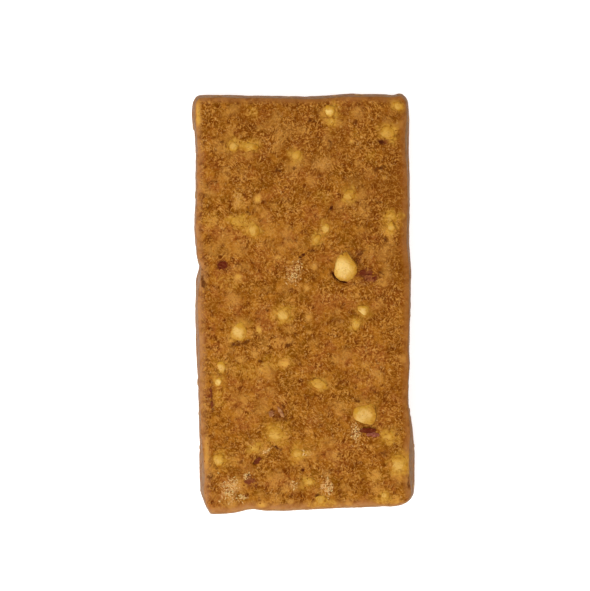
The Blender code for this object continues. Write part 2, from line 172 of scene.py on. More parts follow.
# Peanut pieces that show on top, in mm and degrees: x, y, length, breadth, turn, height out of the paste,
# how much narrower the far end is, and how bare of paste the piece is
TOP_PEANUTS = (
    (8.9, 7.8, 6.2, 4.7, 97, 0.8, 0.5, 1.0),
    (12.6, -23.7, 5.1, 5.4, 20, 0.66, 0.05, 0.85),
    (-14.0, -5.7, 4.0, 3.4, 75, 0.4, 0.1, 0.8),
    (-6.4, -28.0, 4.2, 3.5, 110, 0.29, 0.15, 0.52),
    (20.0, -34.7, 4.6, 3.8, 100, 0.29, 0.1, 0.6),
    (18.5, 36.2, 3.9, 3.2, 115, 0.22, 0.1, 0.4),
    (-4.3, -2.3, 4.0, 3.0, 40, 0.23, 0.1, 0.62),
    (6.1, 41.1, 2.7, 2.5, 80, 0.32, 0.1, 0.9),
    (6.5, 39.0, 2.2, 1.5, 80, 0.18, 0.1, 0.4),
    (-14.6, 34.1, 2.7, 2.3, 90, 0.3, 0.0, 0.64),
    (-10.9, 33.7, 3.6, 2.0, 5, 0.26, 0.15, 0.4),
    (12.7, -1.7, 2.9, 2.3, 150, 0.3, 0.1, 0.85),
    (11.1, -4.6, 2.8, 1.8, 75, 0.19, 0.1, 0.52),
    (19.0, 18.3, 3.2, 2.7, 120, 0.2, 0.1, 0.45),
    (18.9, 16.1, 2.4, 1.6, 80, 0.26, 0.1, 0.6),
    (10.1, 23.0, 3.0, 2.4, 20, 0.27, 0.1, 0.44),
    (4.8, 16.0, 2.8, 1.7, 80, 0.24, 0.1, 0.7),
    (2.9, 13.5, 2.8, 1.8, 60, 0.16, 0.1, 0.45),
    (20.7, 42.0, 2.6, 1.9, 150, 0.22, 0.1, 0.44),
    (-10.6, 16.0, 3.2, 2.6, 135, 0.2, 0.1, 0.6),
    (-13.8, 17.8, 3.4, 2.2, 170, 0.16, 0.1, 0.4),
    (-18.0, -13.4, 2.7, 1.9, 80, 0.27, 0.1, 0.9),
    (-18.5, -16.4, 2.1, 1.8, 90, 0.26, 0.0, 0.9),
    (3.0, -17.2, 3.9, 2.1, 155, 0.23, 0.1, 0.42),
    (-10.9, -30.4, 3.2, 2.8, 70, 0.2, 0.1, 0.5),
    (-1.7, -32.1, 3.0, 2.5, 20, 0.24, 0.1, 0.55),
    (-18.6, -33.1, 3.0, 2.7, 30, 0.24, 0.1, 0.6),
    (17.7, -28.7, 3.0, 2.8, 0, 0.18, 0.0, 0.39),
    (3.1, -42.0, 3.0, 1.8, 10, 0.2, 0.1, 0.55),
    (16.7, -41.2, 2.2, 1.6, 25, 0.2, 0.1, 0.6),
    (0.5, -38.1, 2.8, 1.9, 20, 0.19, 0.1, 0.5),
    (-1.3, 31.7, 3.0, 2.4, 10, 0.18, 0.1, 0.45),
)
PEANUT_DEPTH_SHARE = 0.75

# How much more a piece follows the whole face than the slope right under it
LEVELLING = 2.0
PEANUT_HEAP_SHARE = 0.6
PEANUT_HEAP_REACH = 1.25

# Each piece's flat breaks: how many, how deep they cut into a ball of radius 1, how sharp their edges are.
# Above a share of its half height, only a share of the piece's height is left.
PEANUT_BREAKS = (7, 10)
BREAK_DEPTH = (0.52, 0.9)
BREAK_SHARPNESS = 12
PRESSED_FROM = 0.45
PRESSED_SHARE = 0.35

# The grain of a break, as (scale, share of the piece's size)
BREAK_GRAIN = ((1.9, 0.09), (5.3, 0.04))

# The pieces' mesh: its plain fineness, and the ranks before which a piece is one step finer each time
PEANUT_FINENESS = 3
DETAILED_PEANUTS = (2, 7)

# Torn places in the paste, in mm and degrees: x, y, length, breadth, turn, depth. The fall is how fast
# they shoal away from their middles.
TEARS = (
    (6.6, 6.0, 3.2, 0.7, -52, 0.8), (8.6, 4.5, 3.0, 0.7, -22, 0.8), (-14.4, -8.5, 4.2, 1.5, 10, 0.28),
    (-12.3, -8.0, 2.0, 1.0, 30, 0.33), (13.4, -27.4, 3.8, 1.1, -3, 0.65), (-6.2, -30.8, 3.4, 0.9, -28, 0.42),
    (-10.7, -33.6, 2.2, 0.8, 48, 0.65), (-0.8, -35.6, 2.0, 1.0, 65, 0.42), (1.9, 11.3, 2.8, 0.8, 0, 0.35),
    (-0.2, 10.3, 1.9, 0.8, 35, 0.4), (16.9, 34.3, 2.4, 1.1, -20, 0.5), (-17.3, 8.4, 2.2, 1.9, 45, 0.4),
    (13.4, 5.6, 3.0, 1.9, -12, 0.35), (6.1, 20.4, 1.6, 0.8, 60, 0.4), (-6.3, -23.6, 3.4, 3.0, 0, 0.1),
)
TEAR_FALL = 1.2

# The painted shade in the tears reaches this much farther along and across. A tear without depth would still
# have this much of it.
TEAR_SPREAD = (1.05, 1.1)
TEAR_LEAST = 0.35

# A golden film lies round each peanut piece: how much wider than the piece it is in mm, and its strength
# round pieces shorter than this. Round the others it is this strength less how bare they are.
HALO_REACH = 1.5
HALO_STRENGTH = 0.62
HALO_PIECE = 4.5
HALO_WHEN_COVERED = 1.2

# Peanut pieces that the cut opened along the walls, and a crumb that hangs on the left wall
WALL_PEANUT_SPACING = 7.5 * MM
WALL_PEANUT_UNEVENNESS = (0.65, 1.35)
WALL_PEANUT_LEVELS = (0.25, 0.75)
CORNER_CLEARANCE = 5.0 * MM
WALL_PEANUT_SIZE = (2.0, 3.4)
WALL_PEANUT_PROUD = (0.06, 0.16)
WALL_CRUMB = (-23.3, -16.6, 5.5, 1.8, 1.2, 0.3)
WALL_CRUMB_SHADE = 0.8
WALL_BARENESS = 0.3

# The way to the side of each piece that paste lies over and that is painted yellower as its shaded side, in
# degrees: by its row above, and for all the others
FILMED_SHADED_SIDES = {0: 50, 1: 125, 2: 60, 10: 100}
FILMED_SHADED_SIDE = 80

# How tan a piece is, from 0 to 1: by its row, and by chance for all the others
PEANUT_SHADES = {0: 0.0, 1: 0.75, 2: 0.6}

# How far from its middle a piece's palest place lies, as a share of its breadth: up and to the near left,
# towards the key light, so the pale core is partly painted light
CORE_SHIFT_TO_LIGHT = Vector((0.1, 0.06, -0.3))

# Hollows that the press left underneath, in mm
UNDERSIDE_HOLLOWS = 14
HOLLOW_SPAN = (0.38, 0.42)
HOLLOW_SIZE = (3.0, 6.0)
HOLLOW_BREADTH = (0.5, 0.9)
HOLLOW_DEPTH = (0.3 * MM, 0.6 * MM)
SEED = 41

# Things on top are set on the surface that lies below them
DOWN = Vector((0, 0, -1))

# How far around a spot the surface is looked at to set a thing on it
SETTLE_REACH = 0.8 * MM

# Mesh fineness of the skin
SKIN_GRID = 0.27 * MM
SKIN_WALL_LEVELS = 34
SKIN_TRIANGLES = 196000

# Where a patch ends and where it is full, as shares of its size, and how its rim wavers, in (size, share).
# The peanut that shows through, the tears and the dark marks waver only by a share of that.
PATCH_RIM = (1.25, 0.35)
PATCH_WAVER = ((1.6 * MM, 0.55), (0.7 * MM, 0.3))
CLEAR_WAVER = 0.6
MARK_WAVER = 0.8

# Patches seen on top, in mm and degrees: x, y, length, breadth, turn, strength
OCHRE_PATCHES = (
    (-13.0, 17.6, 7.0, 4.6, 0, 0.9), (-10.8, 15.8, 4.5, 4.0, 0, 0.7), (-13.6, 22.4, 2.8, 5.0, 0, 0.8),
    (-19.9, 18.2, 3.6, 3.4, 0, 0.8), (-10.3, 41.0, 3.4, 3.4, 0, 0.6), (18.6, 17.0, 4.5, 7.0, 0, 0.9),
    (18.2, 36.6, 4.5, 4.6, 0, 0.5), (14.6, 31.2, 3.6, 3.4, 0, 0.5), (11.6, 36.6, 2.0, 3.0, 0, 0.5),
    (-16.0, 5.0, 6.0, 4.0, 0, 0.5), (-6.0, -12.4, 6.6, 4.6, 0, 0.8), (-12.0, -14.0, 7.0, 5.0, 0, 0.5),
    (-4.5, -2.3, 5.6, 4.6, 0, 0.9), (18.0, -29.0, 4.0, 4.0, 0, 0.8), (14.8, -37.0, 3.6, 3.6, 0, 0.7),
    (20.0, -34.9, 5.6, 6.0, 0, 0.9), (-6.4, -28.0, 5.8, 5.8, 0, 0.9), (-1.5, -32.5, 5.0, 4.5, 0, 0.7),
    (-18.0, -33.4, 5.6, 5.0, 0, 0.8), (3.5, -43.0, 8.0, 2.6, 0, 0.7), (17.0, -42.2, 9.0, 2.6, 0, 0.8),
    (-18.6, -19.8, 2.8, 5.0, 0, 0.9), (6.4, 39.8, 5.0, 6.4, 0, 0.7), (-12.2, 34.0, 7.4, 3.6, 0, 0.8),
    (3.4, -30.3, 3.0, 3.0, 0, 0.5), (4.5, 22.6, 4.0, 3.4, 0, 0.4),
)

# Pale peanut that shows through the skin
GHOSTS = (
    (-22.0, 40.8, 1.7, 7.4, 0, 1.0), (-21.2, -32.0, 1.3, 8.0, 0, 0.8), (-9.5, 22.7, 2.2, 2.3, 0, 1.0),
    (-9.0, 37.8, 2.2, 1.6, 0, 0.5), (-6.0, 20.9, 2.0, 2.0, 0, 0.5), (-9.7, 20.3, 1.6, 1.6, 0, 0.5),
    (-19.8, 24.0, 3.0, 2.4, 0, 0.5), (-19.0, 18.0, 2.0, 2.0, 0, 0.6), (11.6, 40.8, 2.4, 1.8, 0, 0.6),
    (10.6, 34.5, 1.2, 1.1, 0, 0.9), (4.3, 29.8, 4.4, 3.2, 0, 0.5), (1.9, 26.0, 2.0, 3.0, 30, 0.5),
    (12.0, 29.8, 1.8, 1.8, 0, 0.5), (17.6, 26.6, 1.6, 1.3, 0, 0.6), (11.0, 20.8, 1.4, 1.6, 0, 0.6),
    (-14.1, 5.7, 2.2, 2.2, 0, 0.9), (-5.4, 9.9, 2.0, 1.1, -15, 0.9), (-15.9, -7.8, 1.4, 1.3, 0, 0.9),
    (-9.7, -5.6, 1.5, 2.2, 0, 1.0), (-9.7, -14.0, 1.8, 1.4, 0, 1.0), (-4.3, -12.9, 2.4, 2.0, 0, 1.0),
    (-10.8, -10.5, 1.6, 1.6, 0, 0.8), (-13.6, -11.8, 2.4, 1.8, 0, 0.8), (-3.3, -7.9, 2.2, 1.5, 0, 0.6),
    (2.3, 7.8, 2.2, 2.4, 0, 0.8), (0.6, 3.3, 1.4, 1.4, 0, 0.9), (16.8, 4.3, 2.8, 2.2, 0, 0.6),
    (17.7, 7.4, 2.4, 2.2, 0, 0.4), (11.4, 1.6, 1.2, 1.0, 0, 0.8), (0.8, -3.0, 2.0, 2.2, 0, 0.9),
    (1.1, -6.2, 1.1, 1.1, 0, 0.7), (7.2, -1.9, 1.6, 2.0, 0, 0.5), (6.6, -12.0, 2.6, 2.2, 0, 0.6),
    (13.0, -13.4, 2.4, 2.0, 0, 0.5), (-9.8, -31.0, 3.6, 3.0, 0, 0.6), (6.3, -32.7, 2.4, 2.4, 0, 0.7),
    (17.7, -28.8, 2.6, 2.6, 0, 0.2), (20.2, -34.6, 3.6, 4.4, 0, 0.8), (14.8, -37.0, 2.4, 2.4, 0, 0.6),
    (13.9, -31.0, 1.3, 1.2, 0, 0.7), (-4.6, -39.7, 2.2, 2.2, 0, 0.7), (-9.7, -42.9, 3.2, 1.9, 0, 0.9),
    (-3.5, -42.3, 1.5, 1.2, 0, 0.7), (0.6, -38.0, 2.0, 1.8, 0, 0.7), (0.5, -27.4, 1.8, 1.4, 0, 0.6),
    (9.1, -42.8, 1.7, 1.6, 0, 0.6), (19.2, -42.3, 2.0, 1.4, 0, 0.6), (-16.0, -38.7, 3.0, 2.6, 0, 0.5),
    (-16.2, -42.6, 3.4, 2.2, 0, 0.6),
)
GHOST_STRENGTH = 0.55
GHOST_SPREAD = 1.05

# Dark spots and thin lines painted on the skin. The four round the curled bit of peanut skin near x -5.5,
# y -23.4 are painted shadow of the curl.
DARK_MARKS = (
    (-5.0, 28.6, 1.3, 0.9, 0, 0.8), (-1.6, 28.9, 1.0, 0.7, 20, 0.8), (-11.6, 19.5, 1.4, 0.7, -20, 0.8),
    (-17.2, 34.8, 0.8, 0.8, 0, 0.8), (-19.9, 26.1, 2.4, 0.8, 10, 0.6), (-9.4, 24.1, 1.6, 0.6, 20, 0.6),
    (2.3, 39.0, 1.5, 0.5, 0, 0.9), (11.4, 38.6, 0.8, 1.0, 0, 0.9), (6.1, 34.2, 1.6, 1.2, 0, 0.5),
    (6.3, 20.5, 0.8, 1.2, 0, 0.9), (17.0, 28.8, 2.4, 0.8, 10, 0.8), (16.4, 21.3, 1.8, 0.6, -15, 0.8),
    (3.8, 27.2, 1.0, 0.6, 0, 0.6), (17.6, 13.2, 1.1, 0.7, -20, 0.9), (12.4, 10.6, 1.6, 0.5, 35, 0.9),
    (11.4, 9.2, 0.6, 1.4, 0, 0.8), (16.6, 6.2, 2.0, 0.4, -30, 0.8), (0.1, 10.4, 1.6, 0.7, 30, 0.8),
    (-21.7, 5.6, 0.9, 4.0, 10, 0.9), (-9.7, -3.2, 1.0, 0.7, 0, 0.8), (-2.0, -6.7, 1.0, 0.8, 0, 0.9),
    (-3.6, -9.0, 1.2, 0.9, 0, 0.8), (-8.0, -1.3, 1.4, 0.8, 0, 0.6), (-9.5, -12.3, 1.0, 0.6, 0, 0.8),
    (11.2, -20.9, 1.2, 0.7, 20, 0.9), (15.5, -19.6, 1.8, 0.8, -30, 0.6), (-20.1, -19.6, 0.4, 2.6, 0, 0.8),
    (-19.8, -22.0, 0.6, 1.4, 0, 0.7), (-4.9, -22.0, 2.2, 0.5, -35, 0.65), (-4.2, -23.7, 0.5, 2.0, 0, 0.65),
    (-5.4, -24.8, 2.2, 0.5, 15, 0.6), (-6.6, -23.0, 0.5, 1.8, 0, 0.5), (-12.6, -36.5, 1.0, 0.5, 0, 0.9),
    (-19.3, -35.0, 0.9, 0.7, 0, 0.7), (-20.6, -37.2, 1.4, 2.0, 0, 0.5), (-3.5, -41.3, 1.2, 0.6, 20, 0.9),
    (2.2, -41.3, 1.0, 0.8, 0, 0.9), (16.6, -32.2, 1.6, 1.8, 0, 0.5), (22.0, -38.6, 0.8, 2.4, 0, 0.7),
)
MARK_SPREAD = 1.5
RED_PATCHES = (
    (13.6, 5.8, 4.6, 3.0, -12, 1.0), (12.4, 4.6, 2.4, 1.8, -40, 0.7), (11.8, 9.6, 1.8, 2.8, 0, 0.7),
    (17.6, 34.3, 3.0, 1.4, -15, 0.8), (-17.0, 8.3, 3.2, 2.8, 45, 0.9), (14.2, -28.5, 3.0, 1.3, -5, 0.6),
    (-20.3, -20.1, 1.9, 5.6, 0, 0.6), (-12.3, -38.0, 3.4, 2.8, 20, 0.7), (-2.6, -41.0, 2.6, 1.6, 0, 0.5),
    (16.6, -32.2, 2.4, 2.4, 0, 0.4), (-5.8, -23.4, 4.0, 3.6, 0, 0.5),
)
# Darker regions: partly the paste's own deeper colour and partly painted shade, most of all the broad ones
# along the right and far side, away from the key light
DEEP_AND_SHADED_PATCHES = (
    (20.0, 22.0, 16.0, 64.0, 0, 1.0), (3.0, 38.0, 52.0, 26.0, 0, 0.7), (18.8, 38.0, 6.0, 5.0, 0, 1.0),
    (-16.0, 31.5, 9.0, 10.0, 0, 0.6), (14.0, 22.0, 8.0, 6.0, 0, 0.6), (20.5, 12.0, 5.0, 8.0, 0, 0.6),
    (12.5, 9.8, 6.0, 5.0, 0, 0.8), (12.5, 4.0, 6.0, 4.0, 0, 0.5), (13.0, 27.0, 8.0, 9.0, 0, 0.6),
    (6.0, 19.5, 5.0, 5.0, 0, 0.7), (6.0, 36.0, 6.0, 4.0, 0, 0.6), (-16.5, 35.5, 7.0, 7.0, 0, 0.6),
    (-4.0, 28.0, 9.0, 6.0, 0, 0.6), (-10.0, -9.0, 7.0, 4.0, 0, 0.4), (20.0, -12.0, 8.0, 40.0, 0, 0.35),
    (15.5, -21.5, 4.0, 7.0, 0, 0.5), (-13.0, -36.5, 8.0, 5.0, 0, 0.5), (9.0, -34.0, 7.0, 5.0, 0, 0.4),
    (-4.0, -35.5, 6.0, 4.0, 0, 0.5), (3.0, 11.0, 7.0, 3.0, 0, 0.4),
)
DRY_PATCHES = (
    (-1.9, 6.5, 3.6, 6.0, 0, 0.55), (4.4, -39.3, 2.4, 4.6, 0, 1.0), (-16.3, -39.6, 4.0, 5.4, 0, 1.0),
    (10.7, -28.1, 2.2, 5.0, 0, 0.8), (-13.0, -36.9, 1.8, 2.2, 0, 0.9), (-14.0, -41.3, 2.4, 1.4, 0, 0.9),
    (-2.9, -38.7, 1.6, 2.2, 0, 0.8), (-0.3, -31.9, 3.0, 1.6, -20, 0.5), (-8.6, -31.6, 1.5, 1.0, 20, 0.8),
    (-11.8, -29.5, 2.5, 2.0, 0, 0.25), (2.0, -25.0, 4.0, 3.0, 0, 0.2), (-13.6, 22.4, 2.6, 4.8, 0, 0.3),
    (4.3, 29.8, 4.0, 2.6, 0, 0.2), (-7.8, -31.0, 1.6, 0.7, 40, 0.7), (-13.9, -41.0, 1.8, 0.9, 0, 0.9),
)

# Bits of red peanut skin, in mm and degrees: x, y, length, breadth, turn, tilt, shade (1 is the darkest)
SKIN_BITS = (
    (12.6, 6.3, 1.7, 1.3, -12, 4, 0.9),
    (13.9, 6.5, 2.4, 0.6, -8, 3, 0.6),
    (13.9, 5.2, 2.4, 1.3, -20, 2, 0.1),
    (-17.3, 8.4, 2.1, 1.9, 45, 6, 1.0),
    (13.3, -27.4, 3.5, 1.2, -3, 30, 1.0),
    (14.3, -28.3, 2.8, 1.2, -8, 4, -0.5),
    (-10.4, -33.5, 1.9, 1.0, 38, 15, 0.8),
    (-20.2, -18.7, 0.5, 2.0, 3, 4, 0.7),
    (-20.0, -21.4, 0.6, 1.6, -10, 4, 0.7),
    (-12.3, -37.9, 2.2, 1.2, 15, 3, 0.4),
    (-5.3, -23.2, 2.5, 0.8, -60, 14, -1.0),
    (-7.3, -23.5, 1.4, 1.1, 80, 6, -0.9),
)
SKIN_BIT_THICKNESS = 0.1 * MM
SKIN_BIT_SUNK = 0.05 * MM

# Unevenness of the bits' outline as (scale, share), their crinkles' height and scale, and their mesh
SKIN_BIT_RAGS = (1.9, 0.4)
SKIN_BIT_CRINKLE = 0.16 * MM
SKIN_BIT_CRINKLE_SCALE = 2.4
SKIN_BIT_FINENESS = 4

# Dry flakes: so many to each area in mm2 of a full patch, and none on a faint one
FLAKES_PER_PATCH = 60
FLAKE_AREA = 20.0
FAINT_PATCH = 0.5
FLAKE_LENGTH = (0.3 * MM, 0.9 * MM)
FLAKE_BREADTH = (0.14 * MM, 0.3 * MM)
FLAKE_THICKNESS = 0.04 * MM
FLAKE_SUNK = 0.2
FLAKE_FINENESS = 1

# Crumbs: the half spans that they lie in, as shares of the width and the length, and their size and shape
CRUMBS = 1500
CRUMB_SPAN = (0.48, 0.485)
CRUMB_SIZE = (0.16 * MM, 0.4 * MM)
CRUMB_SHRINK = (0.6, 1.0)
CRUMB_STRETCH = (0.9, 1.5)
CRUMB_FLATNESS = 0.7
CRUMB_SUNK = 0.3
CRUMB_FINENESS = 2

# How crooked flakes and crumbs lie, in radians, and their lumps as (scale, share)
SPECK_TILT = 0.3
SPECK_LUMPS = (1.3, 0.45)

# Camera: straight above, as far away as a long lens puts it. The photograph is this many pixels wide.
PHOTO_WIDTH = 590
MM_PER_PIXEL = 0.2147
CAMERA_HEIGHT = 1.5
CAMERA_AIM = (-1.8 * MM, 1.64 * MM)
CAMERA_ROLL = math.radians(-0.83)
CAMERA_CLIP = 0.01
SENSOR_WIDTH = 36.0
FOCUS_LEVEL = 8.0 * MM

# Colours, linear
PASTE_DARK = (0.118, 0.022, 0.0004)
PASTE_DEEP = (0.162, 0.041, 0.0014)
PASTE_BROWN = (0.226, 0.065, 0.0024)
PASTE_OLIVE = (0.214, 0.07, 0.002)
PASTE_ROSE = (0.308, 0.091, 0.013)
PASTE_LIGHT = (0.374, 0.135, 0.011)
PASTE_TIP = (0.505, 0.219, 0.038)
PASTE_GLINT = (0.56, 0.285, 0.08)
PASTE_OCHRE = (0.4, 0.165, 0.009)
PASTE_SMEAR = (0.261, 0.076, 0.0038)
PASTE_RED = (0.13, 0.022, 0.008)
GHOST_TAN = (0.59, 0.275, 0.05)
CRACK_SHADE = (0.075, 0.014, 0.003)
MARK_DARK = (0.085, 0.018, 0.002)
# The walls' colours: grey-brown high up is painted sheen and shade, in a lit copy for the left and near side
# and a shaded one for the rest, and the lower wall has a lit and a shaded copy of the paste's brown
WALL_SHADED_SHEEN = (0.196, 0.11, 0.055)
WALL_LIT_SHEEN = (0.27, 0.16, 0.095)
LOWER_WALL_SHADED = (0.185, 0.078, 0.03)
LOWER_WALL_LIT = (0.27, 0.124, 0.05)
NEAR_TAN = (0.31, 0.16, 0.055)
RIM_TAN = (0.41, 0.185, 0.065)
DRY_PALE = (0.64, 0.355, 0.125)
PEANUT_PALE = (0.78, 0.53, 0.175)
PEANUT_GOLD = (0.64, 0.35, 0.055)
PEANUT_SHADED_YELLOW = (0.51, 0.25, 0.016)
FILM_GOLD = (0.5, 0.24, 0.024)
PEANUT_TAN = (0.56, 0.29, 0.065)
SKIN_MAROON = (0.1, 0.011, 0.003)
SKIN_PINK = (0.31, 0.105, 0.03)
SKIN_ROSE = (0.35, 0.11, 0.07)
SKIN_TAN = (0.42, 0.2, 0.07)
FLAKE_WHITE = (0.82, 0.51, 0.2)
FLOOR_WHITE = (0.93, 0.93, 0.93)

# Fine streaks: breadth in mm, how much longer they are, and the size of the patches of one turn. The turns
# are in degrees. The patches' noise steps by this much from turn to turn, and blends over this much.
HAIR = (0.42, 2.4, 3.0)
STROKES = (0.3, 2.6, 1.6)
HAIR_TURNS = (70, 10, 130)
HAIR_STEP = 0.1
HAIR_BLEND = 0.03
STREAK_DETAIL = 1.0
STREAK_CURL = 0.5

# Winding streaks: breadth in mm and how much they wind
CURL_SIZE = 0.55
CURL = 1.2

# Clouds of colour in the paste, from the first laid on to the last: their size in mm and detail, the values
# of their noise where a cloud begins and is full, its strength and its colour
PASTE_CLOUDS = (
    (9.0, 2.0, 0.35, 0.65, 1.0, PASTE_SMEAR),
    (4.4, 2.0, 0.5, 0.64, 0.9, PASTE_ROSE),
    (4.4, 2.0, 0.5, 0.36, 0.9, PASTE_OLIVE),
    (2.4, 3.0, 0.47, 0.66, 0.95, PASTE_LIGHT),
    (1.6, 3.0, 0.5, 0.3, 0.9, PASTE_DARK),
)

# Grain of the paste, from the first laid on to the last: its pattern, the pattern's values where the grain
# begins and is full, its strength and its colour
# The dark layers are partly painted shade in the grain's pits, the crumb layer painted shade in the hollows
# of the crumbly relief; the light tips are partly painted highlights, and the light on the curls painted
# glints
PASTE_GRAIN = (
    ("strokes", 0.46, 0.26, 0.35, PASTE_DARK),
    ("strokes", 0.52, 0.66, 0.88, PASTE_TIP),
    ("hair", 0.47, 0.28, 0.52, PASTE_DARK),
    ("curls", 0.44, 0.3, 0.5, PASTE_DARK),
    ("crumb", 0.4, 0.05, 0.4, PASTE_DARK),
    ("hair", 0.52, 0.7, 0.85, PASTE_TIP),
    ("curls", 0.58, 0.72, 0.76, PASTE_GLINT),
)

# Soft clouds that break up other things: size in mm, detail, the values of the noise where they begin and are
# full, and their least and greatest strength
RIM_STREAKS = (1.6, 2.0, 0.32, 0.62, 0.45, 1.0)
OCHRE_CLOUD = (1.5, 2.0, 0.3, 0.65, 0.35, 0.9)
HALO_CLOUD = (1.0, 2.0, 0.3, 0.6, 0.55, 0.9)
MARK_RAGS = (0.6, 2.0, 0.3, 0.7, -0.35, 0.3)
TEAR_RAGS = (0.6, 2.0, 0.3, 0.7, -0.15, 0.2)
PASTE_SHEEN = (1.3, 2.0, 0.3, 0.7, 0.42, 0.62)
FLESH_PATCHES = (1.3, 2.0, 0.2, 0.8, -0.25, 0.25)
FLESH_SPECKS = (0.5, 2.0, 0.34, 0.24, 0.0, 0.5)
FILM_CLOUD = (0.8, 2.0, 0.35, 0.65)
SKIN_CLOUD = (0.7, 2.0, 0.42, 0.62, 0.0, 0.6)

# Noise drawn out one way: size in mm, detail, roughness, squash along each axis, and how much it winds
WALL_SPOTS = (2.0, 2.0, 0.4, (1.0, 1.0, 1.4))
WALL_PITS = (1.4, 3.0, 0.6, (1.0, 1.0, 2.0))
SKIN_STREAKS = (0.6, 2.0, 0.5, (1.0, 2.4, 1.0), 1.0)

# Streaks in the red stains: breadth in mm, how much longer they are, turn in degrees
STAIN_STREAKS = (0.6, 3.0, 20.0)

# For each layer: the values of its pattern where it begins and is full, and its least and greatest strength
ROUGH_GRAIN = (0.0, 1.0, 0.58, 1.0)
FILM_GRAIN = (0.0, 1.0, 1.0, 0.45)
GILT_SHOWS = (0.46, 0.64)
GHOST_CORE = (0.75, 1.0, 0.0, 0.6)
HALO_CORE = (0.3, 0.6, 0.0, 0.45)
WALL_SPOTS_SHOW = (0.58, 0.7, 0.0, 0.35)
WALL_PITS_SHOW = (0.5, 0.34, 0.0, 0.6)
STAIN_SHOWS = (0.35, 0.6, 0.3, 1.0)
DRY_SHOWS = (0.42, 0.6)
MARK_SHOWS = (0.15, 1.1, 0.0, 0.9)
TEAR_SHOWS = (0.25, 0.95)
PALE_CORE = (0.1, 0.8)
SHADED_YELLOW_END = (0.5, 0.88)
FIBRES_SHOW = (0.5, 0.32)
COVERED_GOLD = (1.0, 0.4, 0.0, 0.8)
FLESH_SHOWS = (0.22, 0.66)
BARE_FLESH = (0.3, 0.9, 0.5, 1.0)
FILM_PITS = (0.48, 0.3)
DULL_ON_WALLS = (0.38, 0.3, 0.0, 0.55)
SKIN_STREAKS_SHOW = (0.45, 0.7, 0.0, 0.5)
ROSE_SKIN = (0.0, -0.5, 0.0, 0.8)
TAN_SKIN = (-0.5, -1.0, 0.0, 0.9)
LIGHT_CRUMBS = (0.1, 0.8)
PALE_CRUMBS = (0.8, 1.0, 0.0, 0.8)

# Strengths of layers, and what peanut under the skin takes off the grain
RIM_CALM = 0.75
RIM_SMEAR = 0.35
DEEP_SHARE = 0.7
GILT_SHARE = 0.65
GHOST_SHARE = 0.95
GHOST_SMOOTHING = 0.5
DRY_SHARE = 0.95
TAN_SHARE = 0.55
FIBRE_SHARE = 0.45
CORE_SHOWS = 0.6
BARE_SHOWS = 0.36
PIT_SHARE = 0.75

# Bumps: size in mm, detail and roughness of the noise, and height in mm
PASTE_BUMPS = (((0.9, 3.0, 0.6), 0.16), ((0.45, 2.0), 0.14))
PEANUT_BUMPS = ((0.6, 3.0, 0.6), 0.12)
SKIN_BUMPS = ((0.4, 2.0), 0.06)
FLAKE_BUMPS = ((0.25, 1.0), 0.03)
CRUMB_BUMPS = ((0.25, 1.0), 0.04)

# What each surface has the same all over
PASTE_SURFACE = {
    "Specular IOR Level": 0.01,
    "Subsurface Weight": 0.12,
    "Subsurface Radius": (1.0, 0.45, 0.12),
    "Subsurface Scale": 0.4 * MM,
}
PEANUT_SURFACE = {
    "Roughness": 0.45,
    "Specular IOR Level": 0.06,
    "Subsurface Weight": 0.35,
    "Subsurface Radius": (1.0, 0.7, 0.25),
    "Subsurface Scale": 0.6 * MM,
}
SKIN_SURFACE = {"Roughness": 0.48, "Specular IOR Level": 0.01}
FLAKE_SURFACE = {
    "Roughness": 0.45,
    "Specular IOR Level": 0.02,
    "Subsurface Weight": 0.2,
    "Subsurface Scale": 0.4 * MM,
}
CRUMB_SURFACE = {
    "Roughness": 0.5,
    "Specular IOR Level": 0.02,
    "Subsurface Weight": 0.15,
    "Subsurface Scale": 0.5 * MM,
}
FLOOR_SURFACE = {
    "Base Color": FLOOR_WHITE,
    "Roughness": 0.8,
    "Emission Color": FLOOR_WHITE,
    "Emission Strength": 0.55,
}

# Floor and light: the lamps' name, place in metres, size and power
FLOOR_REACH = 3.0
FLOOR_GAP = 0.02 * MM
SKY_STRENGTH = 0.74
LIGHTS = (
    ("key", (-0.28, -0.36, 0.62), 0.35, 3.0),
    ("fill", (0.2, 0.3, 0.7), 0.5, 0.6),
)


# Form of the slab, as in the part's source


def smooth_step(low, high, value):
    """0 below low, 1 above high, and a smooth rise between."""
    t = np.clip((value - low) / (high - low), 0.0, 1.0)
    return t * t * (3.0 - 2.0 * t)


def swell(along, swells):
    """The outline's push outwards at a place along a side, all in metres."""
    total = np.zeros_like(along)
    for centre, reach, push in swells:
        total += push * MM * np.exp(-(((along - centre * MM) / (reach * MM)) ** 2))
    return total


def gridded_cube(across, along, up):
    """A cube from -1 to 1 whose faces are cut into that many strips each way."""
    bm = bmesh.new()
    bmesh.ops.create_cube(bm, size=2.0)
    for axis, strips in enumerate((across, along, up)):
        lengthwise = [e for e in bm.edges if abs((e.verts[0].co - e.verts[1].co)[axis]) > 1.0]
        bmesh.ops.subdivide_edges(bm, edges=lengthwise, cuts=strips - 1, use_grid_fill=True)
    return bm


def rounded_in_plan(x, y):
    """Turns the square corners of the plan into arcs, each with its own radius."""
    x, y = x.copy(), y.copy()
    for (side_x, side_y), (across, along, power) in CORNERS.items():
        a = (side_x * x - WIDTH / 2) / (across * MM) + 1
        b = (side_y * y - LENGTH / 2) / (along * MM) + 1
        inside = (a > 0) & (b > 0)
        a, b = a[inside], b[inside]
        drawn_in = np.maximum(a, b) / (a**power + b**power) ** (1 / power)
        x[inside] = side_x * (WIDTH / 2 + across * MM * (a * drawn_in - 1))
        y[inside] = side_y * (LENGTH / 2 + along * MM * (b * drawn_in - 1))
    return x, y


